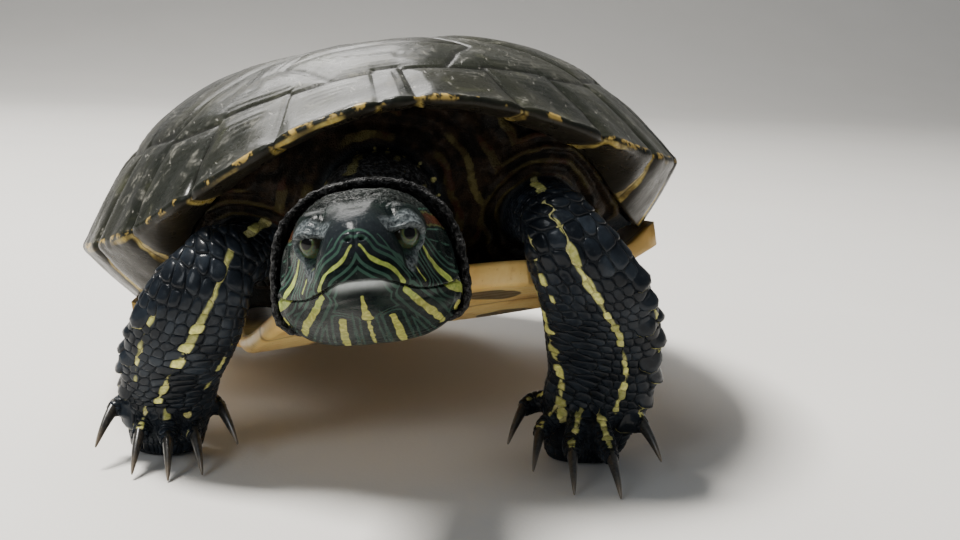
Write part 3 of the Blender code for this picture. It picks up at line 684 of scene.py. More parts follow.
FINE_STRIPES = (
    ((3.4, 2.6, -1.0, 0.1), (5.6, 3.6, -4.4, 0.14), (9.4, 7.8, -8.8, 0.14)),
    ((13.2, 15.6, -0.6, 0.1), (16.4, 23.0, -1.4, 0.18), (17.6, 33.0, -2.2, 0.18)),
    ((13.4, 16.0, -1.8, 0.1), (16.8, 23.4, -4.2, 0.16), (17.8, 33.0, -5.4, 0.16)),
    ((11.0, 15.5, 5.9, 0.1), (13.2, 21.0, 6.8, 0.2), (13.6, 33.0, 6.6, 0.2)),
    ((12.6, 16.8, 1.2, 0.1), (15.4, 22.0, 1.6, 0.22), (16.8, 33.0, 1.2, 0.2)),
    ((7.4, 10.2, -12.9, 0.1), (9.4, 17.0, -15.2, 0.2), (10.0, 33.0, -17.0, 0.2)),
    ((2.6, 9.5, -14.2, 0.1), (2.9, 14.0, -15.8, 0.22), (3.0, 30.0, -19.0, 0.2)),
    ((11.0, 11.6, -11.6, 0.1), (15.2, 21.0, -13.0, 0.2)),
)
RED_PATCH = (
    ((11.3, 17.2, 3.4, 0.9), (13.9, 22.5, 4.0, 1.7), (15.4, 30.0, 3.8, 1.5), (15.6, 38.0, 3.4, 1.2)),
)


def eye_frame(mirror):
    """An eye's middle, gaze, level way and upward way in the head's frame; mirror is -1 on the right."""
    gaze = unit(np.array(EYE_GAZE) * (mirror, 1, 1))
    level = unit(np.cross(gaze, (0, 0, 1)))
    return np.array((mirror * EYE_SIDE, EYE_BACK, 0.0)), gaze, level, np.cross(level, gaze)


def mouth_level(back):
    """Level of the closed mouth's line."""
    return -8.6 - 1.9 * np.sin(pi * np.clip(back / 24.0, 0, 1)) - 0.4 * np.clip(back / MOUTH_CORNER, 0, 1)


def settle(path, surface):
    """A path's stations, set closer together and moved onto the nearest points of a surface."""
    path = np.array(path, float)
    at = np.arange(len(path))
    fine = np.linspace(0, len(path) - 1, 5 * (len(path) - 1) + 1)
    rows = np.stack([np.interp(fine, at, path[:, k]) for k in range(4)], -1)
    for row in rows:
        row[:3] = surface[((surface - row[:3]) ** 2).sum(-1).argmin()]
    for _ in range(4):
        rows[1:-1, :3] = (rows[:-2, :3] + 2 * rows[1:-1, :3] + rows[2:, :3]) / 4
    return rows


def painted(points, paths, mirrored=True):
    """Best of several bands, on both sides of the head."""
    both = points.copy()
    if mirrored:
        both[:, 0] = np.abs(both[:, 0])
    surface = both[::3]
    return np.max([band(both, settle(path, surface)) for path in paths], axis=0)


def shape_head(points, normals):
    """Beak, lids, nostrils, jaw folds and wrinkles worked into the smooth head; also returns the masks."""
    side, back, up = points.T
    away = np.abs(side)
    # Brow, hollow cheeks and the swelling of the jaw's hinge.
    lift = 0.9 * bump(back - 16, 9) * bump(away - 6.5, 4.5) * smooth_step(up, 1.0, 6.0)
    lift -= 0.5 * bump(away, 3.4) * bump(back - 10, 9) * smooth_step(up, 1.0, 5.0)
    lift += 1.1 * bump(back - 25, 8) * bump(up + 10.5, 6.5) * smooth_step(away, 8.0, 14.0)
    lift -= 0.6 * bump(back - 18, 5) * bump(up + 4.5, 4.0) * smooth_step(away, 8.0, 12.0)
    lift += 0.8 * smooth_step(back, 16.0, 27.0) * smooth_step(up, 5.0, 10.0)
    # The upper beak stands over the lower jaw.
    over = up - mouth_level(back)
    in_mouth = 1 - smooth_step(back, MOUTH_CORNER - 2.5, MOUTH_CORNER)
    lift += in_mouth * 0.5 * bump(over - 0.55, 2.4) * smooth_step(over, -0.05, 0.25)
    lift -= in_mouth * 0.75 * smooth_step(-over, 0.0, 0.35) * (1 - smooth_step(-over, 1.5, 4.5))
    lift -= in_mouth * 0.8 * bump(over + 0.1, 0.38)
    notch = bump(away, 1.0) * (1 - smooth_step(back, 1.5, 3.0))
    lift -= 0.25 * notch * bump(over - 0.4, 1.2)
    # Groove between the horny lower beak and the chin's skin, and a fold behind the corner of the mouth.
    chin_edge = over + 3.4 - 0.9 * np.clip(back / 12, 0, 1.6)
    lift -= in_mouth * 0.18 * bump(chin_edge, 0.5) * (1 - smooth_step(back, 14.0, 19.0))
    corner = np.hypot(back - MOUTH_CORNER - 0.6, (up - mouth_level(26.0) + 2.2) * 0.55)
    past_mouth = smooth_step(back, MOUTH_CORNER - 1.0, MOUTH_CORNER + 1.0)
    lift -= 0.7 * bump(corner - 2.6, 1.0) * past_mouth * (up < -4)
    ear = np.hypot(back - 24.5, up + 2.0)
    lift += 0.28 * bump(ear - 3.6, 1.2) - 0.25 * bump(ear, 3.0)
    nostril = np.stack([away, back, up], -1) - NOSTRIL
    pit = np.hypot(nostril[:, 0], nostril[:, 2] * 1.25)
    front = back < 4
    lift += front * (0.28 * bump(pit - 1.0, 0.75) - 1.1 * bump(pit, 0.72))
    lift -= front * 0.2 * bump(away, 0.45) * bump(up + 1.2, 2.2)
    # Crown and cheek skin.
    crown = smooth_step(up, 4.0, 7.0) * smooth_step(back, 9.0, 14.0)
    rough = noise(points, 1.5, 1) * 0.5 + noise(points, 0.75, 2) * 0.4
    lift += crown * (0.2 * rough - 0.3 * bump(noise(points * (0.6, 1.7, 1), 2.0, 3), 0.16))
    lift -= crown * 0.16 * bump(noise(points * (0.7, 1.4, 1), 0.9, 9), 0.2)
    loose = smooth_step(back, 20.0, 30.0)
    folds = np.sin(back * 2.6 + 2.2 * noise(points, 5.0, 4))
    lift += loose * 0.07 * folds * (0.6 + noise(points, 3.0, 8)) + 0.04 * rough
    shaped = points + normals * lift[:, None]

    lids = np.zeros(len(points))
    for mirror in (1, -1):
        centre, gaze, level, rise = eye_frame(mirror)
        # Swollen upper lid, as a dome that the head blends into.
        dome_way = shaped - centre - np.array(LID_DOME) * (mirror, 1, 1)
        dome_far = np.linalg.norm(dome_way, axis=1)
        depth = LID_DOME_RADIUS - dome_far + 0.16 * noise(points, 2.2, 6)
        swell = np.where(depth > -0.9, (depth + 0.9) ** 2 / 3.6, 0.0)
        swell = np.where(depth > 0.9, depth, swell) * smooth_step(shaped[:, 2], -4.0, 0.5)
        rings = np.cos(dome_far * 5.0 + noise(points, 3.0, 7) * 2)
        shaped = shaped + unit(dome_way) * (swell * smooth_step(dome_far, 1.0, 3.0))[:, None]
        creases = 0.07 * rings * bump(depth + 0.2, 1.6) * smooth_step(shaped[:, 2], 1.0, 4.0)
        shaped = shaped + normals * creases[:, None]
        # Lids close over the ball, round an opening that the upper one narrows.
        way = shaped - centre
        far = np.linalg.norm(way, axis=1)
        way = way / far[:, None]
        angle = np.degrees(np.arccos(np.clip(way @ gaze, -1, 1)))
        high = way @ rise / np.maximum(np.hypot(way @ rise, way @ level), 1e-6)
        over_lid = smooth_step(high, -0.1, 0.8)
        past = angle - (LID_OPENING - 34.0 * over_lid + 2.0 * smooth_step(-high, 0.3, 1.0))
        near = (1 - smooth_step(angle, 66.0, 88.0)) * (far < 9)
        cover = EYE_RADIUS + 0.42 + 0.35 * over_lid + (0.45 + 0.5 * over_lid) * bump(past - 7, 8)
        pleats = 0.5 * smooth_step(past, 8, 30) + 0.22 * bump(past - 16, 5) + 0.18 * bump(past - 27, 5)
        cover += over_lid * pleats
        cover -= 0.05 * np.sin(past * 0.9 + 3 * noise(points, 2.0, 5)) * smooth_step(past, 3, 9)
        wanted = np.where(far > cover, cover + (far - cover) * smooth_step(angle, 24.0, 62.0), cover)
        inner = EYE_RADIUS - 0.9
        wanted = inner + (wanted - inner) * smooth_step(past, -3.5, 1.0)
        reach = far + (wanted - far) * near * (1 - 0.6 * over_lid * smooth_step(past, 12, 30))
        shaped = centre + way * reach[:, None]
        bare = smooth_step(past, -2, 1) * (1 - smooth_step(past, 6 + 29 * over_lid, 12 + 36 * over_lid))
        lids = np.maximum(lids, near * bare)
    return shaped, {"over": over, "in_mouth": in_mouth, "lid": lids, "crown": crown}


HEAD_LENGTH = 38.0
SNOUT_ROWS = 12


def head_grid(rows, columns):
    """Points and faces of the head, denser towards the snout, in the head's frame."""
    t = np.linspace(0.0, 1.0, rows) ** 1.35
    body = head_surface(*np.meshgrid(HEAD_LENGTH * t, circle(columns), indexing="ij"))
    first = body[0]
    middle = first.mean(axis=0)
    front = []
    for r in np.arange(1, SNOUT_ROWS) / SNOUT_ROWS:
        ring = middle + (first - middle) * r
        ring[:, 1] = -0.45 * (1 - r**2.5)
        front.append(ring)
    points = np.concatenate([np.array(front), body]).reshape(-1, 3)
    return points, grid_faces(rows + SNOUT_ROWS - 1, columns)


def close_cap(points, columns):
    """Points with one more in the middle of a grid's first ring, and the triangles to it."""
    return np.vstack([points, points[:columns].mean(axis=0)]), fan(0, columns, len(points))[:, (1, 0, 2)]


# Neck, in the world: (point, half width, half height).
NECK_PATH = (
    ((-18.5, -128.0, 65.5), 14.6, 13.4),
    ((-15.0, -108.0, 68.5), 13.4, 12.6),
    ((-11.5, -88.0, 70.5), 14.4, 13.6),
    ((-7.0, -62.0, 69.0), 17.0, 15.0),
)

# Legs: (point, half width, half depth) down the limb.
LOWER_LEGS = {
    "fore_left": (
        ((31.5, -100.5, 69.0), 9.5, 8.5),
        ((34.5, -102.5, 63.0), 11.6, 8.7),
        ((40.0, -101.6, 54.5), 13.6, 8.4),
        ((45.0, -97.3, 45.5), 15.0, 8.2),
        ((48.3, -92.5, 35.5), 15.4, 7.8),
        ((49.8, -88.5, 26.0), 14.9, 7.4),
        ((49.0, -85.5, 18.0), 14.6, 7.6),
    ),
    "fore_right": (
        ((-50.5, -85.0, 56.5), 9.5, 8.5),
        ((-53.5, -86.5, 50.5), 12.0, 8.8),
        ((-57.0, -85.5, 43.0), 13.6, 8.4),
        ((-60.0, -82.0, 35.0), 13.8, 7.9),
        ((-62.3, -77.0, 27.0), 13.2, 7.4),
        ((-63.3, -72.5, 19.5), 12.8, 7.4),
    ),
    "hind_left": (
        ((79.0, 63.0, 33.0), 10.5, 9.4),
        ((84.0, 69.0, 27.0), 10.4, 8.8),
        ((88.0, 75.0, 19.5), 9.8, 7.8),
        ((89.4, 77.6, 15.0), 9.8, 7.8),
        ((89.8, 78.2, 12.0), 10.0, 8.0),
    ),
    "hind_right": (
        ((-60.5, 57.0, 18.0), 9.6, 8.2),
        ((-62.0, 63.5, 18.8), 9.8, 8.0),
        ((-61.5, 71.0, 17.0), 9.4, 7.8),
        ((-60.8, 75.0, 13.8), 9.6, 7.8),
        ((-60.5, 76.0, 11.3), 9.8, 8.0),
    ),
}
UPPER_LEGS = {
    "fore_left": (
        ((35.5, -56.0, 64.5), 13.0, 11.5), ((34.0, -78.0, 67.5), 10.5, 9.5), ((32.5, -97.0, 67.5), 9.6, 8.5),
    ),
    "fore_right": (
        ((-36.0, -52.0, 55.0), 13.0, 11.5), ((-42.0, -70.0, 56.5), 10.5, 9.0),
        ((-50.0, -84.0, 54.5), 9.8, 8.2),
    ),
    "hind_left": (
        ((36.0, 57.0, 44.0), 13.0, 11.0), ((57.0, 61.0, 41.0), 12.0, 10.0), ((77.0, 62.5, 34.0), 10.8, 9.4),
    ),
    "hind_right": (
        ((-34.0, 56.0, 27.5), 12.0, 9.6), ((-48.0, 56.5, 24.0), 10.8, 8.4), ((-60.0, 56.5, 18.0), 9.8, 8.0),
    ),
}
LEG_SIDES = {
    "fore_left": (0.97, -0.22, 0.04),
    "fore_right": (0.97, -0.22, 0.04),
    "hind_left": (0.45, 0.85, 0.1),
    "hind_right": (-0.45, 0.85, 0.1),
}

# Feet: middle of the sole, half width, half depth.
PADS = {
    "fore_left": ((47.0, -84.0), 12.2, 10.4),
    "fore_right": ((-64.0, -68.5), 11.2, 10.2),
    "hind_left": ((90.0, 79.5), 10.6, 9.6),
    "hind_right": ((-60.5, 77.0), 10.4, 9.4),
}
# Toes of each foot: the turn from ahead, the reach to the claw's tip and its lift.
TOES = {
    "fore_left": (
        (84.0, 21.6, 6.5), (50.0, 22.8, 3.0), (20.0, 27.8, 0.6), (-3.0, 30.0, 0.6), (-44.0, 23.4, 5.5),
    ),
    "fore_right": (
        (62.0, 20.6, 5.5), (26.0, 21.0, 0.6), (2.0, 22.5, 0.6), (-22.0, 21.4, 1.6), (-58.0, 20.4, 6.0),
    ),
    "hind_left": ((-8.0, 22.5, 0.6), (-31.0, 25.5, 0.6), (-54.0, 25.5, 0.6), (-80.0, 23.5, 0.8)),
    "hind_right": ((2.0, 22.5, 0.6), (-19.0, 25.0, 0.6), (-41.0, 24.5, 0.6), (-65.0, 22.5, 0.8)),
}
# Toe's radius, then its claw's length, its slope down and its share of the toe's turn.
TOE_SHAPES = {"fore": (3.1, 11.0, 0.6, 0.45), "hind": (3.1, 9.0, 0.5, 0.7)}
TAIL_PATH = (
    ((2.0, 72.0, 32.5), 8.5, 8.5),
    ((3.0, 88.0, 30.0), 6.8, 6.8),
    ((3.5, 103.0, 25.5), 5.0, 5.0),
    ((5.0, 115.0, 19.0), 3.5, 3.5),
    ((8.0, 125.0, 13.0), 2.1, 2.1),
    ((11.0, 132.0, 9.0), 0.9, 0.9),
)
CORE_PATH = (((-4.0, -62.0, 62.0), 9.0, 9.0), ((2.0, 0.0, 52.0), 9.0, 9.0), ((2.0, 72.0, 38.0), 9.0, 9.0))
SOLE_DEPTH = -0.1


class Limb:
    """Path with a width, a depth and directions at every place, to make a tube on and to find points from."""

    def __init__(self, stations, side_way, count=60, lead=0.0):
        rows = spline(stations, np.linspace(0, 1, count))
        self.path = rows[:, :3]
        self.wide = rows[:, 3]
        self.deep = rows[:, 4]
        self.radius = 0.5 * (self.wide + self.deep)
        self.along = arc_lengths(self.path) - lead
        self.length = self.along[-1]
        self.ahead = unit(np.gradient(self.path, axis=0))
        side = np.asarray(side_way, float)
        self.across = unit(side - self.ahead * (self.ahead @ side)[:, None])
        through = np.cross(self.ahead, self.across)
        self.through = through * np.sign(through.mean(axis=0) @ (0, -0.6, 0.8))

    def rings(self, sides):
        """Rings of points round the path."""
        angles = circle(sides)
        wide = self.wide[:, None, None] * np.cos(angles)[:, None] * self.across[:, None, :]
        deep = self.deep[:, None, None] * np.sin(angles)[:, None] * self.through[:, None, :]
        return list(self.path[:, None, :] + wide + deep)

    def find(self, points):
        """For each point: distance along, angle round, and how far out it is in radii."""
        step = max(1, len(self.path) // 30)
        k = ((points[:, None, :] - self.path[::step]) ** 2).sum(-1).argmin(1) * step
        way = points - self.path[k]
        directions = self.ahead, self.across, self.through
        ahead, x, y = (np.einsum("ij,ij->i", way, rows[k]) for rows in directions)
        along = self.along[k] + ahead
        beyond = np.maximum(np.maximum(self.along[0] - along, along - self.length), 0)
        out = np.hypot(np.hypot(x / self.wide[k], y / self.deep[k]), beyond / self.deep[k])
        return along, np.arctan2(y, x), out

    def read(self, along, *tables):
        """Rows of each table at distances along the path."""
        return [np.stack([np.interp(along, self.along, row) for row in table.T], -1) for table in tables]

    def ray(self, along, angle):
        """Start on the path and direction outward for each place and angle."""
        start, across, through = self.read(along, self.path, self.across, self.through)
        return start, unit(np.cos(angle)[:, None] * across + np.sin(angle)[:, None] * through)

    def stripe(self, path):
        """A stripe's path in the world from its places on the limb."""
        along, degrees, half_width = np.array(path, float).T
        start, across, through = self.read(along, self.path, self.across, self.through)
        wide = np.interp(along, self.along, self.wide) * np.cos(np.radians(degrees))
        deep = np.interp(along, self.along, self.deep) * np.sin(np.radians(degrees))
        return np.hstack([start + wide[:, None] * across + deep[:, None] * through, half_width[:, None]])


def toe_stations(word, toe):
    """Path of a toe, its way and the way of its claw."""
    degrees, reach, lift = toe
    radius, claw_length, claw_slope, claw_share = TOE_SHAPES[word[:4]]
    heading = radians(degrees) * (-1 if word.endswith("right") else 1)
    way = np.array([-sin(heading), -cos(heading), 0.0])
    turned = heading * claw_share
    ahead = np.array([-sin(turned), -cos(turned), 0.0])
    claw_way = unit(ahead - (0, 0, claw_slope))
    droop = np.cross(claw_way, np.cross(ahead, (0, 0, 1))) * CLAW_DROOP
    middle = np.array([*PADS[word][0], 0.0])
    ankle = LOWER_LEGS[word][-1][0][2] + 1.0
    end = middle + way * reach + (0, 0, lift) - claw_way * claw_length - droop
    start = middle + way * 3.5 + (0, 0, min(16.5, ankle - 0.4 * radius))
    bend = end - unit(way + claw_way) * 4.2
    rise = 0.5 * (start + bend) + (0, 0, 0.9)
    stations = (
        (start, radius * 0.95, radius * 0.95),
        (rise, radius * 1.06, radius * 1.04),
        (bend, radius * 1.0, radius * 0.98),
        (end, radius * 0.78, radius * 0.76),
    )
    return stations, way, claw_way


def toe_limb(word, toe, count):
    """Limb of a toe."""
    stations, way, _ = toe_stations(word, toe)
    return Limb(stations, np.cross((0, 0, 1), way), count)


def rim(angle):
    """Edge of the carapace at an angle from the front, in the shell's frame."""
    s = np.sin(angle)
    c = np.cos(angle)
    y = -(SHELL_LENGTH / 2) * np.sign(c) * np.abs(c) ** 0.94
    x = SHELL_HALF_WIDTH * np.sign(s) * np.abs(s) ** 1.01 * (1 + REAR_FLARE * y / SHELL_LENGTH)
    z = FRONT_ARCH * np.clip(c, 0, 1) ** FRONT_ARCH_POWER + REAR_ARCH * np.clip(-c, 0, 1) ** 1.5
    return np.stack([x, y, z], -1)


def lip(angle, inset=0.0):
    """Inner edge of the carapace's underside."""
    edge = rim(angle)
    reach = np.linalg.norm(edge[..., :2], axis=-1)
    inner = edge * (1 - (LIP_WIDTH + inset) / reach)[..., None]
    from_side = np.abs(np.sin(angle))
    drop = np.where(np.cos(angle) > 0, smooth_step(from_side, 0.62, 0.95), smooth_step(from_side, 0.8, 0.97))
    inner[..., 2] = edge[..., 2] - 2.0 - BRIDGE_DROP * drop
    return inner


def dome(angle, edge, height, r):
    """Points of a dome over an edge: r is 0 at its middle and 1 at the edge."""
    ring = edge * r[..., None]
    toward_end = np.cos(angle) ** 2
    power = SLOPE_AT_ENDS * toward_end + SLOPE_AT_SIDES * (1 - toward_end)
    ring[..., 2] = edge[..., 2] * r**ARCH_FADE + height * (1 - r**DOME_FLATNESS) ** power
    return ring


def plastron_underside(x, y):
    """Level of the plastron's underside."""
    from_middle = np.clip(np.abs(x) / WING_START, 0, 1)
    front = PLASTRON_UPTURN * smooth_step(-y, 52.0, 96.0) * (1 - 0.3 * from_middle**2)
    wing = WING_RISE * np.clip((np.abs(x) - WING_START) / (WING_REACH - WING_START), 0, 1.2) ** 1.2
    return PLASTRON_LEVEL + front + wing


def closed_tube(rings):
    """Points and triangles of a body through rings of one size, closed at both ends."""
    rings = np.asarray(rings)
    count, sides = rings.shape[:2]
    quads = grid_faces(count, sides)
    points = np.vstack([rings.reshape(-1, 3), rings[0].mean(axis=0), rings[-1].mean(axis=0)])
    first = fan(0, sides, count * sides)[:, (1, 0, 2)]
    last = fan((count - 1) * sides, sides, count * sides + 1)
    return points, np.vstack([quads[:, (0, 1, 2)], quads[:, (0, 2, 3)], first, last])


def flesh_block(low, high):
    """Slice of the flesh that fills the shell, between two distances behind the shell's middle."""
    angles = circle(96)
    waist = lip(angles, 2.0)
    waist[..., 2] += 0.8
    top = DOME_HEIGHT - ROOF - 1.6
    rings = [dome(angles, waist, top, np.full(96, r)) for r in (0.12, 0.3, 0.5, 0.7, 0.85, 0.95, 1.0)]
    for r in (0.97, 0.9, 0.75, 0.5, 0.2):
        ring = waist * r
        floor = plastron_underside(ring[..., 0], ring[..., 1]) + PLASTRON_THICKNESS + 0.8
        ring[..., 2] = floor + (np.maximum(waist[..., 2], floor) - floor) * r**4
        rings.append(ring)
    for ring in rings:
        bulge = 5.0 * np.clip(1 - (ring[..., 0] / 60) ** 2, 0, 1)
        ring[..., 1] = np.clip(ring[..., 1], low - bulge, high + 0.4 * bulge)
    return [from_shell(ring) for ring in rings]


# Loose skin behind the head, from inside it and round its rolled lip: (distance behind the snout, gap).
SLEEVE_PROFILE = (
    (36.2, -9.0), (36.0, -1.0), (34.8, 0.8), (33.0, 1.1), (31.2, 1.2), (29.8, 1.4), (29.0, 1.9),
    (29.1, 2.35), (29.9, 2.75), (31.6, 2.65), (34.0, 2.3), (36.0, 1.5), (38.0, 0.2),
)
HEAD_AXIS = (0.0, 0.0, -5.0)


def sleeve_rings(sides):
    """Rings of the loose skin round the back of the head."""
    angles = circle(sides)
    under = smooth_step(-np.sin(angles), 0.25, 0.9)
    rings = []
    for back, grow in SLEEVE_PROFILE:
        flat = head_surface(np.full(sides, min(back, 33.0)), angles)
        out = unit((flat - HEAD_AXIS) * (1, 0, 1))
        over = smooth_step(np.sin(angles), 0.1, 0.9) * (grow > 1)
        drawn_in = (3.6 * under + 0.5 * (1 - over) * (grow > 1)) * (grow > 0)
        ring = flat + out * (grow + 0.9 * over - drawn_in)[:, None]
        ring[:, 1] = back + 3.2 * under
        rings.append(from_head(ring))
    return rings


def neck_ring(neck, k, angles):
    """Points round the neck at one of its places, at angles from its right."""
    across = unit(np.cross(neck.ahead[k], (0, 0, 1)))
    up = np.cross(across, neck.ahead[k])
    wide = np.outer(neck.wide[k] * np.cos(angles), across)
    return neck.path[k] + wide + np.outer(neck.deep[k] * np.sin(angles), up)


def neck_rings(sides):
    """Rings of the whole neck."""
    neck = Limb(NECK_PATH, (1, 0, 0), 40)
    return [neck_ring(neck, k, circle(sides)) for k in range(len(neck.path))]


# A foot from the ankle to the sole: (share of the way down, width).
PAD_PROFILE = ((0.2, 1.0), (0.4, 0.98), (0.6, 0.99), (0.75, 1.0), (0.88, 0.97), (0.96, 0.91), (1.0, 0.82))


def leg_rings(word):
    """Lower leg from its rounded elbow or knee down to the flat sole."""
    limb = Limb(LOWER_LEGS[word], LEG_SIDES[word], 40)
    rings = limb.rings(48)
    middle = rings[0].mean(axis=0)
    start = []
    for scale, out in ((0.3, 0.95), (0.55, 0.83), (0.77, 0.62), (0.93, 0.35)):
        start.append(middle + (rings[0] - middle) * scale - limb.ahead[0] * limb.deep[0] * out)
    top = rings[-1]
    (x, y), half_width, half_depth = PADS[word]
    if word.startswith("fore"):
        y += 3.2
        half_width *= 0.84
        half_depth *= 0.66
    angles = circle(48)
    across = unit((top[0] - top.mean(axis=0)) * (1, 1, 0))
    wide = np.outer(half_width * np.cos(angles), across)
    deep = np.outer(half_depth * np.sin(angles), np.cross((0, 0, -1), across))
    pad = []
    for t, spread in PAD_PROFILE:
        ring = top + ((wide + deep) * spread + (x, y, 0.0) - top) * t
        ring[:, 2] = top[:, 2] * (1 - t) + SOLE_DEPTH * t
        pad.append(ring)
    return start + rings + pad


def toe_rings(word, toe):
    """Toe with a rounded end."""
    limb = toe_limb(word, toe, 20)
    rings = limb.rings(24)
    end = rings[-1].mean(axis=0)
    tip = [end + (rings[-1] - end) * scale + limb.ahead[-1] * out for scale, out in ((0.85, 0.5), (0.5, 0.9))]
    return rings + tip


def body_volume():
    """All flesh but the head as one set of overlapping closed bodies."""
    bodies = [sleeve_rings(72) + neck_rings(72), flesh_block(-76.0, -40.0), flesh_block(58.0, 84.0)]
    bodies.append(Limb(CORE_PATH, (1, 0, 0), 12).rings(24))
    bodies.append(Limb(TAIL_PATH, (1, 0, 0), 40).rings(32))
    for word in LOWER_LEGS:
        bodies.append(Limb(UPPER_LEGS[word], LEG_SIDES[word], 24).rings(48))
        bodies.append(leg_rings(word))
        bodies += [toe_rings(word, toe) for toe in TOES[word]]
    points = []
    faces = []
    start = 0
    for rings in bodies:
        body_points, body_faces = closed_tube(rings)
        points.append(body_points)
        faces.append(body_faces + start)
        start += len(body_points)
    return np.vstack(points), np.vstack(faces)


def relax(points, edges, rounds, hold=None):
    """Smooths a mesh by moving each point towards its neighbours' middle and half back out again."""
    count = np.bincount(edges.ravel(), minlength=len(points)).astype(float)[:, None]
    for k in range(rounds):
        total = np.stack([
            np.bincount(edges[:, 0], points[edges[:, 1], axis], len(points))
            + np.bincount(edges[:, 1], points[edges[:, 0], axis], len(points))
            for axis in range(3)
        ], -1)
        step = (total / count - points) * (0.6 if k % 2 == 0 else -0.42)
        points = points + (step if hold is None else step * hold[:, None])
    return points


def read(items, key, width=1, kind=np.int32):
    """Numbers of a mesh's items."""
    numbers = np.empty(len(items) * width, kind)
    items.foreach_get(key, numbers)
    return numbers


def make_body(voxel):
    """Points and quads of the smooth body."""
    points, faces = body_volume()
    rough = make_mesh("body_rough", points, (faces,), None)
    modifier = rough.modifiers.new("remesh", "REMESH")
    modifier.mode = "VOXEL"
    modifier.voxel_size = voxel * MM
    evaluated = rough.evaluated_get(bpy.context.evaluated_depsgraph_get())
    mesh = bpy.data.meshes.new_from_object(evaluated)
    bpy.data.objects.remove(rough, do_unlink=True)
    points = read(mesh.vertices, "co", 3, np.float32).reshape(-1, 3).astype(float) / MM - CENTRE
    quads = read(mesh.loops, "vertex_index").reshape(-1, 4)
    edges = read(mesh.edges, "vertices", 2).reshape(-1, 2)
    bpy.data.meshes.remove(mesh)
    return relax(points, edges, 16), quads


def leg_stations(word):
    """Lower leg's path, begun above the elbow or knee and taken on into the foot."""
    place, half_width, half_depth = PADS[word]
    stations = LOWER_LEGS[word]
    elbow = np.array(stations[0][0])
    above = elbow - unit(np.array(stations[1][0]) - elbow) * ELBOW_LEAD
    ankle = np.array(stations[-1][0])
    sole = np.array((*place, 1.5))
    return (
        (above, stations[0][1] * 0.55, stations[0][2] * 0.55),
        *stations,
        (ankle + (sole - ankle) * 0.55, half_width * 0.98, half_depth * 0.98),
        (sole, half_width, half_depth),
    )


ELBOW_LEAD = 7.5

# Pale lines of the neck: (angle round it in degrees from the left, half width).
NECK_STRIPES = (
    (8, 0.8), (26, 0.5), (48, 0.45), (66, 0.5), (84, 0.4), (97, 0.4), (114, 0.5), (132, 0.45), (154, 0.5),
    (172, 0.8), (-22, 1.2), (-48, 0.9), (-72, 1.1), (-108, 1.1), (-132, 0.9), (-158, 1.2),
)

# Pale stripes of each limb: (distance down it, angle round it in degrees, half width). 90 faces forwards.
LIMB_STRIPES = {
    "lower fore_left": (
        ((-5, 96, 0.8), (2, 92, 0.8), (10, 86, 0.8), (20, 80, 0.8), (32, 72, 0.8), (46, 68, 0.8),
         (58, 70, 0.75), (68, 76, 0.7)),
        ((12, 176, 0.8), (21, 168, 1.1), (31, 157, 1.3), (40, 148, 1.3), (50, 140, 1.2),
         (60, 132, 1.0), (70, 120, 0.8)),
        ((-4, 150, 0.6), (4, 144, 0.6), (12, 136, 0.6), (20, 128, 0.35)),
        ((62, 104, 0.7), (70, 100, 0.9)),
        ((64, 158, 0.7), (70, 166, 0.8)),
        ((26, 16, 0.3), (36, 12, 0.5), (50, 14, 0.6), (64, 24, 0.6)),
        ((10, -60, 1.2), (30, -80, 1.4), (50, -90, 1.3), (70, -95, 1.2)),
    ),
    "lower fore_right": (
        ((-2, 64, 0.85), (8, 70, 0.9), (18, 80, 0.85), (30, 90, 0.7), (42, 96, 0.6), (56, 100, 0.6)),
        ((10, 18, 0.4), (22, 30, 0.5), (34, 40, 0.5), (46, 50, 0.5), (56, 58, 0.5)),
        ((16, 128, 0.5), (32, 132, 0.6), (48, 130, 0.6)),
        ((10, 240, 1.2), (30, 255, 1.4), (50, 265, 1.2)),
    ),
    "lower hind_left": (
        ((0, 60, 1.3), (12, 70, 1.5), (24, 80, 1.5), (32, 84, 1.3)),
        ((0, 150, 1.1), (12, 150, 1.3), (26, 145, 1.2)),
        ((2, -40, 1.0), (14, -50, 1.2), (28, -55, 1.2)),
    ),
    "lower hind_right": (
        ((0, 60, 1.3), (12, 70, 1.5), (24, 80, 1.5)),
        ((0, 150, 1.1), (12, 150, 1.3), (24, 145, 1.2)),
        ((2, -40, 1.0), (14, -50, 1.2), (24, -55, 1.2)),
    ),
    "upper fore_left": (
        ((10, 100, 1.0), (24, 106, 1.2), (42, 110, 1.2)),
        ((8, 30, 1.0), (24, 20, 1.1), (40, 14, 0.9)),
    ),
    "upper fore_right": (((8, 60, 1.0), (22, 60, 1.2), (36, 58, 1.2)),),
    "toe fore_left 1": (((6, 100, 0.6), (18, 90, 0.5)),),
    "toe fore_left 2": (((5, 100, 0.9), (14, 95, 0.8), (20, 90, 0.6)),),
    "toe fore_left 3": (((5, 95, 0.8), (16, 90, 0.7), (22, 90, 0.5)),),
    "toe fore_left 4": (((5, 90, 0.8), (16, 90, 0.7), (22, 90, 0.5)),),
    "toe fore_left 5": (((10, 90, 0.6), (16, 90, 0.5)),),
    "toe fore_right 1": (((6, 100, 0.6), (16, 90, 0.5)),),
    "tail": (
        ((0, 60, 0.9), (40, 62, 0.7), (66, 66, 0.3)),
        ((0, 120, 0.9), (40, 118, 0.7), (66, 114, 0.3)),
        ((0, -90, 1.4), (40, -90, 0.9), (66, -90, 0.3)),
    ),
}
HIND_UPPER_STRIPES = (
    ((60, 1.2), (66, 1.5), (66, 1.4)), ((130, 1.2), (136, 1.4), (140, 1.3)), ((10, 1.0), (6, 1.3), (0, 1.2)),
)
for number, angle in ((2, 100), (3, 95), (4, 90)):
    LIMB_STRIPES[f"toe fore_right {number}"] = (((5, angle, 0.8), (16, 90, 0.6)),)
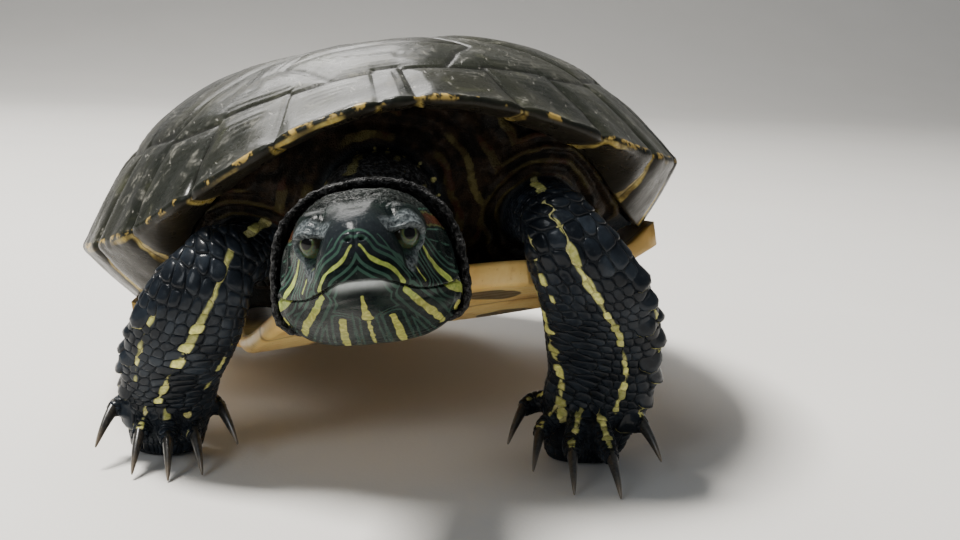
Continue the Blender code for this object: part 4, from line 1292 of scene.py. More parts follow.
for word, places in (("hind_left", (8, 24, 40)), ("hind_right", (6, 16, 26))):
    LIMB_STRIPES[f"upper {word}"] = [
        [(at, *row) for at, row in zip(places, rows)] for rows in HIND_UPPER_STRIPES
    ]
    for number, reach in ((1, 18), (2, 20), (3, 20), (4, 18)):
        LIMB_STRIPES[f"toe {word} {number}"] = (((5, 90, 0.9), (reach, 90, 0.7)),)


class Coat:
    """Where skin is and how it is marked, shared by the skin and the scales over it."""

    def __init__(self):
        self.lower = {word: Limb(leg_stations(word), LEG_SIDES[word], 100, ELBOW_LEAD) for word in LOWER_LEGS}
        self.upper = {word: Limb(UPPER_LEGS[word], LEG_SIDES[word], 40) for word in UPPER_LEGS}
        self.neck = Limb(NECK_PATH, (1, 0, 0), 60)
        self.tail = Limb(TAIL_PATH, (1, 0, 0), 60)
        self.toes = {}
        for word in TOES:
            for number, toe in enumerate(TOES[word], 1):
                self.toes[word, number] = toe_limb(word, toe, 24)
        limbs = {"tail": self.tail}
        limbs.update((f"lower {word}", limb) for word, limb in self.lower.items())
        limbs.update((f"upper {word}", limb) for word, limb in self.upper.items())
        limbs.update((f"toe {word} {number}", limb) for (word, number), limb in self.toes.items())
        self.stripes = [limbs[name].stripe(path) for name, paths in LIMB_STRIPES.items() for path in paths]
        self.stripes += [self.neck_stripe(radians(degrees), width) for degrees, width in NECK_STRIPES]

    def neck_stripe(self, angle, half_width):
        """Thin pale line from behind the head along the neck."""
        flat = head_surface(np.array((33.0,)), angle)
        flat = flat + unit((flat - HEAD_AXIS) * (1, 0, 1)) * 3.0
        flat[:, 1] = 34.5
        rows = [from_head(flat)] + [neck_ring(self.neck, k, pi - angle) for k in (2, 14, 26, 40, 52)]
        widths = half_width * np.array((0.2, 0.8, 1.0, 1.0, 0.8, 0.6))
        return np.hstack([np.vstack(rows), widths[:, None]])

    def stripe(self, points):
        """How far inside the nearest pale stripe of the body each point lies, in millimetres."""
        best = np.full(len(points), NO_STRIPE)
        wander = 0.55 * noise(points, 3.6, 51) + 0.2 * noise(points, 1.3, 52)
        for path in self.stripes:
            low = path[:, :3].min(axis=0) - 6
            high = path[:, :3].max(axis=0) + 6
            near = np.flatnonzero(((points > low) & (points < high)).all(axis=1))
            if len(near):
                best[near] = np.maximum(best[near], band(points[near], path))
        return np.maximum(best + np.where(best > -3, wander, 0), NO_STRIPE)


def folded(points, normals, coat):
    """Skin drawn into folds: its points, how pale, how loose and how much of the neck or collar each is."""

    def out_of(*words):
        """How far out of the nearest of some upper legs each point is, in radii."""
        return np.min([coat.upper[word].find(points)[2] for word in words], axis=0)

    to_neck, neck_round, neck_out = coat.neck.find(points)
    arms = out_of("fore_left", "fore_right")
    legs = out_of("hind_left", "hind_right")
    behind = points[:, 1]
    lower = np.min([limb.find(points)[2] for limb in coat.lower.values()], axis=0)
    off_legs = smooth_step(lower, 1.15, 1.4) * smooth_step(points[:, 2], 14.0, 20.0)
    front = smooth_step(-behind, 52.0, 60.0) * (1 - smooth_step(-behind, 86.0, 96.0))
    funnel = front * off_legs * smooth_step(np.minimum(arms, neck_out), 0.95, 1.2)
    rear = smooth_step(behind, 55.0, 62.0) * (1 - smooth_step(behind, 88.0, 92.0))
    rear *= off_legs * smooth_step(np.minimum(legs, coat.tail.find(points)[2]), 0.95, 1.2)
    loose = funnel + rear
    # Folds run round the limbs where the skin is loose.
    wander = 0.9 * noise(points, 9.0, 61) + 0.35 * noise(points, 3.5, 62)
    around = 9.0 * np.minimum(np.minimum(arms, neck_out * 0.9), legs)
    ridge = 0.5 + 0.5 * np.cos(around * 1.9 + wander * 2.6)
    uneven = 0.9 * noise(points, 12.0, 70) + 0.2 * noise(points, 1.6, 63)
    folds = loose * (0.75 * ridge - 0.55 * (1.0 - ridge**0.6) + uneven)
    # Rings round the neck, and the rolled collar behind the head.
    on_neck = (1 - smooth_step(neck_out, 1.2, 1.6)) * smooth_step(-behind, 84.0, 92.0) * off_legs
    local = to_head(points)
    roll = smooth_step(local[:, 1], 26.0, 28.0) * (1 - smooth_step(local[:, 1], 38.0, 44.0))
    on_neck = np.maximum(on_neck, roll)
    sleeve = on_neck * smooth_step(to_neck, 8.0, 20.0)
    neck_phase = to_neck * 1.15 + 1.3 * noise(points, 7.0, 64) + 0.4 * np.cos(2 * neck_round)
    neck_ridge = 0.5 + 0.5 * np.cos(neck_phase)
    folds += sleeve * (0.9 * neck_ridge**0.7 - 0.45 + 0.3 * noise(points, 1.5, 65))
    crinkle = 0.5 + 0.5 * np.cos(to_neck * 2.1 + 3.0 * noise(points, 4.0, 70))
    grain = 0.25 * noise(points, 1.3, 66) + 0.14 * noise(points, 0.8, 67)
    folds += on_neck * (1 - sleeve) * (grain + 0.22 * crinkle)
    turned = np.arctan2(local[:, 2] + 5.0, local[:, 0])
    twist = np.cos(turned * 46.0 + local[:, 1] * 1.6 + 2.4 * noise(points, 3.0, 76))
    folds += roll * (0.13 * twist + 0.26 * noise(points, 1.5, 74) + 0.12 * noise(points, 0.7, 75))
    lengthwise = flat_noise(neck_round * 6.0, to_neck * 0.12, 1.0, 68)
    pale = loose * smooth_step(ridge, 0.6, 0.95) * smooth_step(noise(points, 8.0, 69), -0.3, 0.25)
    pale += sleeve * smooth_step(lengthwise, 0.28, 0.55) * 0.9
    return points + normals * folds[:, None], pale, np.clip(loose, 0, 1), on_neck


def make_skin(coat, rows, columns, voxel):
    """The one skin over head, neck, body, legs and tail."""
    points, faces = head_grid(rows, columns)
    faces, normals = turned_out(points, faces)
    shaped, masks = shape_head(points, normals)
    stripe = painted(shaped, HEAD_STRIPES)
    chin = painted(shaped, CHIN_STRIPES, False)
    fine = painted(shaped, FINE_STRIPES)
    # Two fine lines run beside each stripe on the cheeks.
    beside = np.minimum(np.abs(np.abs(stripe + 1.5) - 0.1), np.abs(np.abs(stripe + 2.7) - 0.05))
    on_cheek = smooth_step(masks["in_mouth"] + shaped[:, 1] / 12, 0.5, 1.2)
    fine = np.maximum(fine, np.where(on_cheek > 0.5, 0.16 - beside, NO_STRIPE))
    red = painted(shaped, RED_PATCH)
    rough = 0.22 * noise(shaped, 1.6, 71)
    nose = bump(shaped[:, 1], 9.0) * smooth_step(masks["over"], 3.0, 5.0)
    behind = shaped[:, 1]
    shaped, snout = close_cap(shaped, columns)
    snout = turned_to((0, -1, 0), shaped, snout)

    body, quads = make_body(voxel)
    quads, body_normals = turned_out(body, quads)
    body, pale, loose, on_neck = folded(body, body_normals, coat)
    on_legs = 1 - np.clip(loose + on_neck, 0, 1)
    body = body - body_normals * (0.42 * on_legs)[:, None]
    body = body + body_normals * (0.05 * noise(body, 1.4, 73))[:, None]
    body[:, 2] = np.maximum(body[:, 2], 0.04)

    capped = lambda values: np.r_[values, values[:columns].mean()]
    none = np.full(len(body), NO_STRIPE)
    zero = np.zeros(len(body))
    off = np.zeros(len(shaped))
    values = {
        "stripe": (capped(np.maximum(stripe, chin) + rough), coat.stripe(body)),
        "fine": (capped(fine + rough * 0.4), none),
        "red": (capped(red + rough * 2), none),
        "lid": (capped(masks["lid"]), zero),
        "crown": (capped(masks["crown"]), zero),
        "jaw": (capped(masks["over"]), none),
        "mouth": (capped(masks["in_mouth"]), zero),
        "behind": (np.r_[behind, 0.0], zero + 40),
        "nose": (capped(nose), zero),
        "head": (off + 1, zero),
        "pale": (off, pale),
        "loose": (off, loose),
        "collar": (off, on_neck),
    }
    points = np.vstack([from_head(shaped), body])
    quads = quads + len(shaped)
    skin = make_mesh("skin", points, (faces, snout, quads), skin_paint())
    add_values(skin, **{name: np.concatenate(both) for name, both in values.items()})
    return skin, points, np.vstack([faces, quads])


def clip_polygon(polygon, middle, way):
    """Part of a polygon on the near side of a line through a point, square to a direction."""
    depth = (polygon - middle) @ way
    kept = []
    for k in range(len(polygon)):
        a = polygon[k - 1]
        b = polygon[k]
        da = depth[k - 1]
        db = depth[k]
        if (da <= 0) != (db <= 0):
            kept.append(a + (b - a) * (da / (da - db)))
        if db <= 0:
            kept.append(b)
    return np.array(kept)


def seed_rows(limb, start, stop, size_at):
    """Seeds in staggered rows down a limb, and their plates' widths and heights, which size_at gives."""
    seeds = []
    widths = []
    heights = []
    along = start
    row = 0
    while along < stop:
        radius = float(np.interp(along, limb.along, limb.radius))
        angle = -pi + (row % 2) * 0.5 * size_at(along, 0.0)[0] / radius
        last = angle + 2 * pi
        row_heights = []
        while angle < last - 0.3 * size_at(along, angle)[0] / radius:
            w, h = size_at(along, (angle + pi) % (2 * pi) - pi)
            row_heights.append(h)
            jitter = CHANCE.uniform(-0.16, 0.16, 2) * (w, h)
            seeds.append((angle * radius + jitter[0], along + jitter[1]))
            widths.append(w)
            heights.append(h)
            angle += w / radius
        along += 0.93 * float(np.mean(row_heights))
        row += 1
    return np.array(seeds), np.array(widths), np.array(heights)


class Scales:
    """Plates gathered into one mesh for each limb."""

    def __init__(self, tree, roots, coat):
        self.tree = tree
        self.roots = roots
        self.coat = coat
        self.paint = scale_paint()

    def cover(
        self, name, limb, start, stop, size_at, gap=0.11, rise=0.34, corners=14, keep=None, lean=0.0, skew=0.0
    ):
        """One joined mesh of plates on a limb; size_at(place, angle) gives each plate's width and height."""
        seeds, widths, heights = seed_rows(limb, start, stop, size_at)
        # Seeds repeat on each side, so that plates meet behind the limb.
        count = len(seeds)
        half_round = pi * np.interp(seeds[:, 1], limb.along, limb.radius)
        whole = np.stack([2 * half_round, 0 * half_round], -1)
        wrapped = np.vstack([seeds, seeds + whole, seeds - whole])
        edge = np.abs(wrapped[:, 0]) < np.tile(half_round + 12, 3)
        order = np.r_[np.arange(count), count + np.flatnonzero(edge[count:])]
        sizes = np.tile(np.stack([widths, heights], -1), (3, 1))[order]
        outlines = plate_outlines(wrapped[order], sizes, gap, corners, count)
        flat = np.array([
            np.vstack([ring, middle + (ring - middle) * 0.84, middle + (ring - middle) * 0.5, middle[None]])
            for ring, middle in outlines.values()
        ])
        plates, per = flat.shape[:2]
        across, along = flat.reshape(-1, 2).T
        along = np.clip(along, limb.along[0], limb.length)
        angle = across / np.interp(along, limb.along, limb.radius)
        slant = skew * smooth_step(along, 4.0, 14.0) * smooth_step(limb.length - along, 10.0, 24.0)
        along = along + slant * np.cos(angle)
        reach = 1.35 * np.interp(along, limb.along, np.maximum(limb.wide, limb.deep)) + 1.5
        hits = np.full((plates * per, 3), np.nan)
        normals = np.zeros_like(hits)
        for k, (begin, way) in enumerate(zip(*limb.ray(along, angle))):
            hit, normal, _, _ = self.tree.ray_cast(Vector(begin), Vector(way), reach[k])
            if hit is not None:
                hits[k] = hit
                normals[k] = normal
        hits = hits.reshape(plates, per, 3)
        normals = normals.reshape(plates, per, 3)
        # Plates with a missed or stretched place, or over a sharp bend, are left out.
        size = np.linalg.norm(flat - flat[:, -1:], axis=2).max(axis=1)
        good = np.linalg.norm(hits - hits[:, -1:], axis=2).max(axis=1) < size * 1.7 + 0.6
        good &= np.linalg.norm(normals.mean(axis=1), axis=1) > 0.6
        if keep is not None:
            good &= keep(hits[:, -1])
        tint = CHANCE.random(count)[np.array(list(outlines))[good]]
        flat, hits, normals, size = flat[good], hits[good], normals[good], size[good]
        face = unit(normals.mean(axis=1))
        normals = unit(normals * 0.5 + face[:, None] * 0.5)
        crown = rise * np.clip(size / 2.4, 0.6, 1.15)[:, None]
        down = unit(limb.read(flat[:, -1, 1], limb.ahead)[0])
        slope = np.einsum("pki,pi->pk", hits - hits[:, -1:], down) / size[:, None]
        tilt = lean * np.clip(slope, -0.6, 1) * crown
        height = tilt + crown * np.repeat((0.0, 0.84, 1.0, 1.02), (corners, corners, corners, 1))
        height[:, :corners] = 0.08 + tilt[:, :corners] * 0.9
        foot = hits[:, :corners] - normals[:, :corners] * 0.35
        made = np.concatenate([foot, hits + normals * height[..., None]], axis=1)
        per_plate = made.shape[1]
        offset = (np.arange(len(made)) * per_plate)[:, None, None]
        quads = (grid_faces(4, corners) + offset).reshape(-1, 4)
        tops = (fan(3 * corners, corners, 4 * corners) + offset).reshape(-1, 3)
        points = made.reshape(-1, 3)
        points[:, 2] = np.maximum(points[:, 2], 0.02)
        outward = normals_of(points, quads).reshape(made.shape)[:, corners * 2 : corners * 3].mean(axis=1)
        if (outward * face).sum() < 0:
            quads = quads[:, ::-1]
            tops = tops[:, ::-1]
        coat = make_mesh(name, points, (quads, tops), self.paint)
        stripe = self.coat.stripe(points).reshape(len(made), per_plate)
        stripe = stripe * 0.55 + stripe[:, -1:] * 0.45
        if lean > 2:
            free_edge = tilt[:, :corners] > 0.5 * lean * crown
            stripe[:, : 2 * corners] = np.where(np.tile(free_edge, 2), 0.4, stripe[:, : 2 * corners])
        inner = np.repeat((0.0, 0.12, 0.6, 1.0), (corners, corners, corners, corners + 1))
        add_values(coat, stripe=stripe, tint=np.repeat(tint, per_plate), inner=np.tile(inner, len(made)))
        self.unwrap(coat, made, hits[:, -1])
        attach(coat, "root")

    def unwrap(self, coat, made, places):
        """Small patch for each plate, at its root's place on an unwrap of the skin."""
        spots = self.roots(places)[:, None]
        from_top = made - made[:, -1:]
        face = unit(-from_top[:, : made.shape[1] // 4].mean(axis=1) + 1e-9)
        right = unit(np.cross(face, (0.31, 0.22, 0.92)) + 1e-9)
        flat = np.einsum("pki,pji->pkj", from_top, np.stack([right, np.cross(face, right)], 1))
        uv = (spots + 0.003 * flat / (2 * np.abs(flat).max(axis=(1, 2), keepdims=True))).reshape(-1, 2)
        layer = coat.data.uv_layers.new(name="OFBake")
        uv = np.clip(uv[read(coat.data.loops, "vertex_index")], 0.001, 0.999)
        layer.data.foreach_set("uv", uv.astype(np.float32).ravel())


def plate_outlines(seeds, sizes, gap, corners, count):
    """Outlines and middles of the first seeds' plates by number, with the rest only as neighbours."""
    outlines = {}
    for k in range(count):
        offset = (seeds - seeds[k]) / sizes[k]
        near = np.flatnonzero((np.abs(offset) < 2.4).all(axis=1))
        near = near[np.argsort(np.abs(offset[near]).sum(axis=1))][1:14]
        polygon = np.array(((-1.2, -1.2), (1.2, -1.2), (1.2, 1.2), (-1.2, 1.2)))
        for other in near:
            way = offset[other]
            ratio = sizes[k].sum() / (sizes[k].sum() + sizes[other].sum())
            polygon = clip_polygon(polygon, way * ratio, way)
        real = polygon * sizes[k]
        middle = real.mean(axis=0)
        reach = np.linalg.norm(real - middle, axis=1, keepdims=True)
        real = middle + (real - middle) * np.clip(1 - gap * 1.3 / np.maximum(reach, 1e-6), 0.3, 1)
        # Corners are cut off, and the outline is divided evenly.
        ahead = np.roll(real, -1, axis=0)
        rounded = np.stack([real * 0.84 + ahead * 0.16, real * 0.16 + ahead * 0.84], axis=1).reshape(-1, 2)
        closed = np.vstack([rounded, rounded[:1]])
        steps = arc_lengths(closed)
        at = np.linspace(0, steps[-1], corners, endpoint=False)
        ring = np.stack([np.interp(at, steps, row) for row in closed.T], -1)
        x, y = ring.T
        area = 0.5 * abs(float((x * np.roll(y, -1) - np.roll(x, -1) * y).sum()))
        if area > 0.12:
            outlines[k] = (seeds[k] + ring, seeds[k] + middle)
    return outlines


def forearm_plate(word):
    """Sizes of plates on a forearm: big at the elbow and down the outer edge, broad bands in the middle."""
    outer, length = (0.0, 78.0) if word.endswith("left") else (pi, 60.0)

    def size_at(along, angle):
        t = along / length
        from_outer = apart(angle, outer)
        facing = bump(from_outer - 1.95, 1.1)
        w = 2.6 + 2.6 * bump(t - 0.02, 0.24) + 6.6 * facing * bump(t - 0.52, 0.36)
        h = 2.4 + 1.7 * bump(t - 0.02, 0.26) + 0.5 * facing - 0.5 * smooth_step(t, 0.62, 0.9)
        edge = bump(from_outer, 0.6)
        w += 1.6 * edge * smooth_step(t, 0.1, 0.3)
        h += 1.4 * edge * smooth_step(t, 0.15, 0.4) * (1 - smooth_step(t, 0.85, 0.98))
        return float(w * 0.8 + 0.4 if t > 0.8 else w), float(h)

    return size_at


def plain_plate(width, height, end_width, end_height, length):
    """Sizes that change evenly down a limb."""

    def size_at(along, angle):
        t = min(max(along / length, 0.0), 1.0)
        return width + (end_width - width) * t, height + (end_height - height) * t

    return size_at


def toe_plate(radius):
    """Broad bands over the top of a toe and small grains on its sides."""

    def size_at(along, angle):
        over = bump(angle - pi / 2, 1.0)
        return float(radius * (0.7 + 1.0 * over)), 1.7

    return size_at


def make_scales(coat, tree, roots):
    """Scales of the legs, feet, toes and tail."""
    scales = Scales(tree, roots, coat)
    for word, limb in coat.lower.items():
        toes = [toe for (leg, _), toe in coat.toes.items() if leg == word]
        left = word.endswith("left")

        def clear(places, toes=toes):
            """Places that no toe's own scales cover."""
            within = [(toe.find(places)[0] > 6.0) & (toe.find(places)[2] < 1.15) for toe in toes]
            return ~np.any(within, axis=0)

        def on_edge(places, limb=limb, outer=0.15 if left else pi - 0.15):
            """Places on the outer edge of a forearm."""
            return apart(limb.find(places)[1], outer) < 0.3

        name = "scales_" + word
        stop = limb.length - 0.8
        if word.startswith("fore"):
            skew = 2.6 if left else -2.6
            scales.cover(name, limb, -7.2, stop, forearm_plate(word), keep=clear, lean=0.6, skew=skew)
            sizes = plain_plate(6.5, 6.4, 5.0, 5.4, limb.length)
            scales.cover(name + "_edge", limb, 20.0, limb.length - 14.0, sizes, 0.1, 0.4, 16, on_edge, 3.4)
        else:
            sizes = plain_plate(3.2, 2.6, 2.6, 2.0, limb.length)
            scales.cover(name, limb, -7.2, stop, sizes, keep=clear, lean=0.4)
    for word, limb in coat.upper.items():
        off_lower = lambda places, lower=coat.lower[word]: lower.find(places)[2] > 1.12
        sizes = plain_plate(2.4, 1.9, 3.2, 2.6, limb.length)
        scales.cover(f"scales_{word}_upper", limb, 6.0, limb.length + 4.0, sizes, rise=0.4, keep=off_lower)
    for (word, number), limb in coat.toes.items():
        others = [toe for (leg, k), toe in coat.toes.items() if leg == word and k != number]

        def on_toe(places, limb=limb, others=others):
            """Places nearer to this toe than to the others."""
            mine = limb.find(places)[2]
            rest = np.min([toe.find(places)[2] for toe in others], axis=0)
            return (mine < rest) & (mine < 1.35)

        sizes = toe_plate(TOE_SHAPES[word[:4]][0])
        name = f"scales_{word}_toe_{number}"
        scales.cover(name, limb, 6.0, limb.length + 1.0, sizes, 0.1, 0.3, 12, on_toe, 0.3)
    tail = coat.tail
    sizes = plain_plate(2.6, 2.3, 1.0, 1.4, tail.length)
    scales.cover("scales_tail", tail, 18.0, tail.length - 1.0, sizes, 0.1, 0.3, 10, None, 0.3)


def skin_roots():
    """Function giving, for places on the skin, their spot on an unwrap of the skin's shape."""
    points, quads = make_body(2.4)
    copy = make_mesh("skin_unwrap", points, (quads,), None)
    copy.data.uv_layers.new(name="unwrap")
    bpy.context.view_layer.objects.active = copy
    copy.select_set(True)
    bpy.ops.object.mode_set(mode="EDIT")
    bpy.ops.mesh.select_all(action="SELECT")
    bpy.ops.uv.smart_project(angle_limit=radians(66), island_margin=0.004)
    bpy.ops.object.mode_set(mode="OBJECT")
    flat = read(copy.data.uv_layers["unwrap"].data, "uv", 2, np.float32).reshape(-1, 4, 2).astype(float)
    bpy.data.objects.remove(copy, do_unlink=True)
    tree = BVHTree.FromPolygons(points.tolist(), quads.tolist())

    def spots(wanted):
        """Spot of each place, between its face's corners."""
        found = []
        for place in wanted:
            hit, _, face, _ = tree.find_nearest(Vector(place))
            away = np.linalg.norm(points[quads[face]] - np.array(hit), axis=1)
            share = 1 / (away + 0.05)
            found.append(share @ flat[face] / share.sum())
        return np.array(found)

    return spots


# Where the shell's plates meet. Marginal seams lie at these lengths of edge from the front, to each side.
MARGINAL_SEAMS = np.array(
    (4.5, 32.0, 61.0, 89.0, 115.0, 140.0, 166.0, 191.0, 217.0, 242.0, 268.0, 293.0, 319.5)
)
MARGINAL_INNER = 0.805
COSTAL_SEAMS = ((-43.0, -0.26), (-3.0, 0.0), (37.0, 0.26))
VERTEBRAL_SEAMS = (-63.0, -24.0, 17.0, 57.0)
VERTEBRAL_SIDE = (
    (-90.0, 14.0), (-63.0, 25.0), (-43.0, 15.0), (-24.0, 24.0), (-3.0, 15.0), (17.0, 23.0), (37.0, 14.0),
    (57.0, 20.0), (84.0, 11.0),
)
SEAM_HALF_WIDTH = 0.42

# The shell's rounded edge: (fall, outward) of its rows; then the rows of its underside.
EDGE_PROFILE = ((0.35, 0.32), (0.85, 0.5), (1.4, 0.42), (1.85, 0.12))
LIP_ROWS = 44


def edge_lengths(angles):
    """Length of edge from the front middle to each angle, measured round either side."""
    fine = np.linspace(0.0, pi, 1201)
    return np.interp(apart(angles), fine, arc_lengths(rim(fine)))


def plates_at(angle, r, flat):
    """Each place's gap to the nearest seam, plate's number, length round the edge and marginal plate."""
    x, y, _ = flat.T
    away = np.abs(x)
    left = x >= 0
    # Marginal plates lie outside a stepped line that follows the edge.
    edge = edge_lengths(angle)
    which = np.searchsorted(MARGINAL_SEAMS, edge, side="right") - 1
    inner = MARGINAL_INNER + np.where(which % 2 == 0, 0.008, -0.008) + 0.008 * np.cos(2 * angle)
    to_inner = np.abs(r - inner) * np.linalg.norm(rim(angle)[:, :2], axis=1)
    to_seam = np.abs(edge[:, None] - MARGINAL_SEAMS).min(axis=1) * np.clip(r, 0.6, 1)
    is_marginal = r > inner
    gap = np.where(is_marginal, np.minimum(to_seam, to_inner), to_inner)
    number = np.where(is_marginal, 20 + which + 14 * left, 0)
    # Vertebral plates down the middle, costals between.
    half = np.interp(y, *np.array(VERTEBRAL_SIDE).T) + 0.5 * flat_noise(x * 0, y, 7.0, 21)
    is_vertebral = ~is_marginal & (away < half)
    is_costal = ~is_marginal & ~is_vertebral
    rows = np.searchsorted(VERTEBRAL_SEAMS, y + 0.5 * flat_noise(x, x * 0, 9.0, 22))
    to_row = np.abs(y[:, None] - VERTEBRAL_SEAMS).min(axis=1)
    lines = np.array([y - (at + lean * (away - 15)) for at, lean in COSTAL_SEAMS])
    gap = np.where(is_marginal, gap, np.minimum(gap, 0.8 * np.abs(away - half)))
    gap = np.where(is_vertebral, np.minimum(gap, to_row), gap)
    gap = np.where(is_costal, np.minimum(gap, np.abs(lines).min(axis=0)), gap)
    number = np.where(is_vertebral, 1 + rows, number)
    number = np.where(is_costal, 6 + (lines > 0).sum(axis=0) + 4 * left, number)
    return gap, number, edge, which


def carapace_rings():
    """Angles, rows of points from the dome's middle, over the edge and under it, and how far out each is."""
    angle = circle(640)
    hollow_height = DOME_HEIGHT - ROOF - 1.0
    edge = rim(angle)
    length = np.linalg.norm(edge[:, :2], axis=1)
    rows = []
    for r in TOP_RADII:
        rows.append((dome(angle, edge, DOME_HEIGHT, np.full(len(angle), r)), r + 0 * length))
    # Rounded edge, then the underside of the marginal plates down to their inner edge.
    for fall, out in EDGE_PROFILE:
        ring = edge.copy()
        ring[:, :2] += edge[:, :2] / length[:, None] * out * 0.6
        ring[:, 2] -= fall
        rows.append((ring, 1 + fall / length))
    start = edge - (0, 0, 2.0)
    inner = lip(angle)
    for t in np.linspace(0.03, 1.0, LIP_ROWS):
        ring = start + (inner - start) * t
        ring[:, 2] -= 0.6 * 1.3 * sin(pi * t) * (1 - t * 0.5)
        rows.append((ring, 1 + (2.0 + t * LIP_WIDTH) / length))
    # Back up inside, and the roof of the hollow.
    for t in (0.08, 0.3, 0.6, 1.0):
        ring = inner * (1 - 0.05 * t)
        ring[:, 2] = inner[:, 2] + 4.0 * t
        rows.append((ring, 1 + (20 + t) / length))
    for r in (0.9, 0.75, 0.5, 0.2):
        ring = dome(angle, inner * 0.95, hollow_height, np.full(len(angle), r))
        rows.append((ring + (0, 0, 4.0 * r**4), 1 + (30 + r) / length))
    points, radii = zip(*rows)
    return angle, np.array(points), np.array(radii)


TOP_RADII = np.linspace(0.02, 1.0, 150) ** 0.82


def make_carapace():
    """Upper shell: its plates, their growth rings, wear and nicks."""
    angle, rows, radii = carapace_rings()
    count, columns = rows.shape[:2]
    points = rows.reshape(-1, 3)
    radius = radii.ravel()
    angles = np.tile(angle, count)
    row = np.repeat(np.arange(count), columns)
    edge_places = rim(angles)
    flat = edge_places * np.clip(radius, 0, 1)[:, None]
    gap, number, edge, which = plates_at(angles, np.clip(radius, 0, 0.9999), flat)
    top = row < len(TOP_RADII)
    lip_start = len(TOP_RADII) + len(EDGE_PROFILE)
    lower = (row >= lip_start) & (row < lip_start + LIP_ROWS)
    length = np.linalg.norm(edge_places[:, :2], axis=1)
    past_edge = (radius - 1) * length
    under = np.clip(past_edge - 2.0, 0, LIP_WIDTH) / LIP_WIDTH
    faces, normals = turned_out(points, grid_faces(count, columns))
    tint = np.sin(number * 12.9898) * 43758.5453
    tint = tint - np.floor(tint)
    # Plates stand a little proud, with rings of growth round a worn middle.
    lift = -0.5 * (1 - smooth_step(gap, 0.0, SEAM_HALF_WIDTH * 2.4)) * np.where(top | lower, 1.0, 0.6)
    lift += 0.42 * smooth_step(gap, 0.3, 5.0) - 0.3 * smooth_step(gap, 5.0, 16.0)
    rings = np.sin(gap * 3.4 + 1.4 * noise(points, 9.0, 31) + tint * 5)
    strength = smooth_step(gap, 0.8, 2.0) * (1 - smooth_step(gap, 9.0, 15.0))
    growth = np.where(top, rings * np.clip(strength * (0.5 + 0.5 * noise(points, 22.0, 32)), 0, 1), 0)
    lift += 0.07 * growth
    dents = 0.22 * noise(points, 13.0, 33) + 0.1 * noise(points, 5.0, 34)
    lift += np.where(top, dents, 0.05 * noise(points, 4.0, 35))
    # Low broken keel on the vertebrals.
    keel = bump(points[:, 0], 7.0) * (0.5 + 0.5 * np.sin(points[:, 1] / 6.4))
    lift += np.where(top, 0.5 * keel * smooth_step(points[:, 1], -70.0, 40.0), 0.0)
    # Worn nicks where the marginal seams reach the edge, and small chips between.
    at_edge = 1 - smooth_step(under, 0.05, 0.3)
    to_seam = np.abs(edge[:, None] - MARGINAL_SEAMS).min(axis=1)
    nick = bump(to_seam, 3.0) * smooth_step(radius, 0.93, 1.0) * at_edge
    nick *= 0.5 + 0.9 * (flat_noise(edge, np.sign(points[:, 0]) * 9, 18.0, 36) > 0.1)
    outward = unit(flat * (1, 1, 0) + 1e-9)
    points = points + normals * lift[:, None] - outward * nick[:, None]
    chips = 0.35 * np.maximum(noise(points, 2.2, 37), 0) * smooth_step(radius, 0.97, 1.0) * at_edge
    points -= outward * chips[:, None]
    # Blotches of the underside: a dark patch on each marginal with yellow between.
    low = MARGINAL_SEAMS[np.clip(which, 0, 11)]
    high = MARGINAL_SEAMS[np.clip(which + 1, 1, 12)]
    local = (edge - np.where(which >= 0, (low + high) / 2, 0)) / np.where(which >= 0, (high - low) / 2, 4.5)
    wander = 0.16 * noise(points, 3.4, 38) + 0.06 * noise(points, 1.2, 39)
    bars = np.abs(np.abs(local) - 1.0)
    thin = -0.05 + 0.12 * flat_noise(edge, np.sign(points[:, 0]) * 40, 7.0, 41)
    blotch = np.minimum(bars - 0.06 - 0.1 * under, (under - thin) * 1.6) + 0.4 * wander * (1 - at_edge)

    points, first = close_cap(points, columns)
    first = turned_to((0, 0, 1), points, first)
    start = (count - 1) * columns
    last = fan(start, columns, len(points))
    points = np.vstack([points, points[start : start + columns].mean(axis=0)])
    shell = make_mesh("carapace_plates", from_shell(points), (faces, first, last), carapace_paint())
    values = {
        "seam_gap": gap,
        "plate": tint,
        "rim_near": -past_edge,
        "under": np.where(top, 0.0, 0.02 * smooth_step(past_edge, 0.9, 1.6) + under),
        "blotch": blotch,
        "upper": top.astype(float),
        "growth": growth,
    }
    add_values(shell, **{name: np.r_[numbers, np.full(2, numbers[0])] for name, numbers in values.items()})
    return shell


def plastron_half_width(y):
    """Half width of the underside's shell, without its bridges, in the shell's frame."""
    front = FRONT_LOBE * np.sqrt(1 - (np.clip(-y - 40, 0, 57) / 58) ** 2.4)
    rear = REAR_LOBE * np.sqrt(1 - (np.clip(y - 38, 0, 62) / 66) ** 2.2)
    return np.where(y < 0, front, rear)


def plastron_outline(y):
    """Half width of the plastron with its bridges."""
    lobe = plastron_half_width(y)
    ahead = smooth_step(y, BRIDGE_FRONT - 8, BRIDGE_FRONT + 4)
    astern = 1 - smooth_step(y, BRIDGE_REAR - 4, BRIDGE_REAR + 8)
    return lobe + (WING_REACH - lobe) * ahead * astern


# Figures on the plastron's plates, from the front: (middle, width).
FIGURES = np.array(((-80.0, 7.0), (-57.0, 11.0), (-26.0, 14.0), (13.0, 15.0), (47.0, 11.0), (76.0, 9.0)))


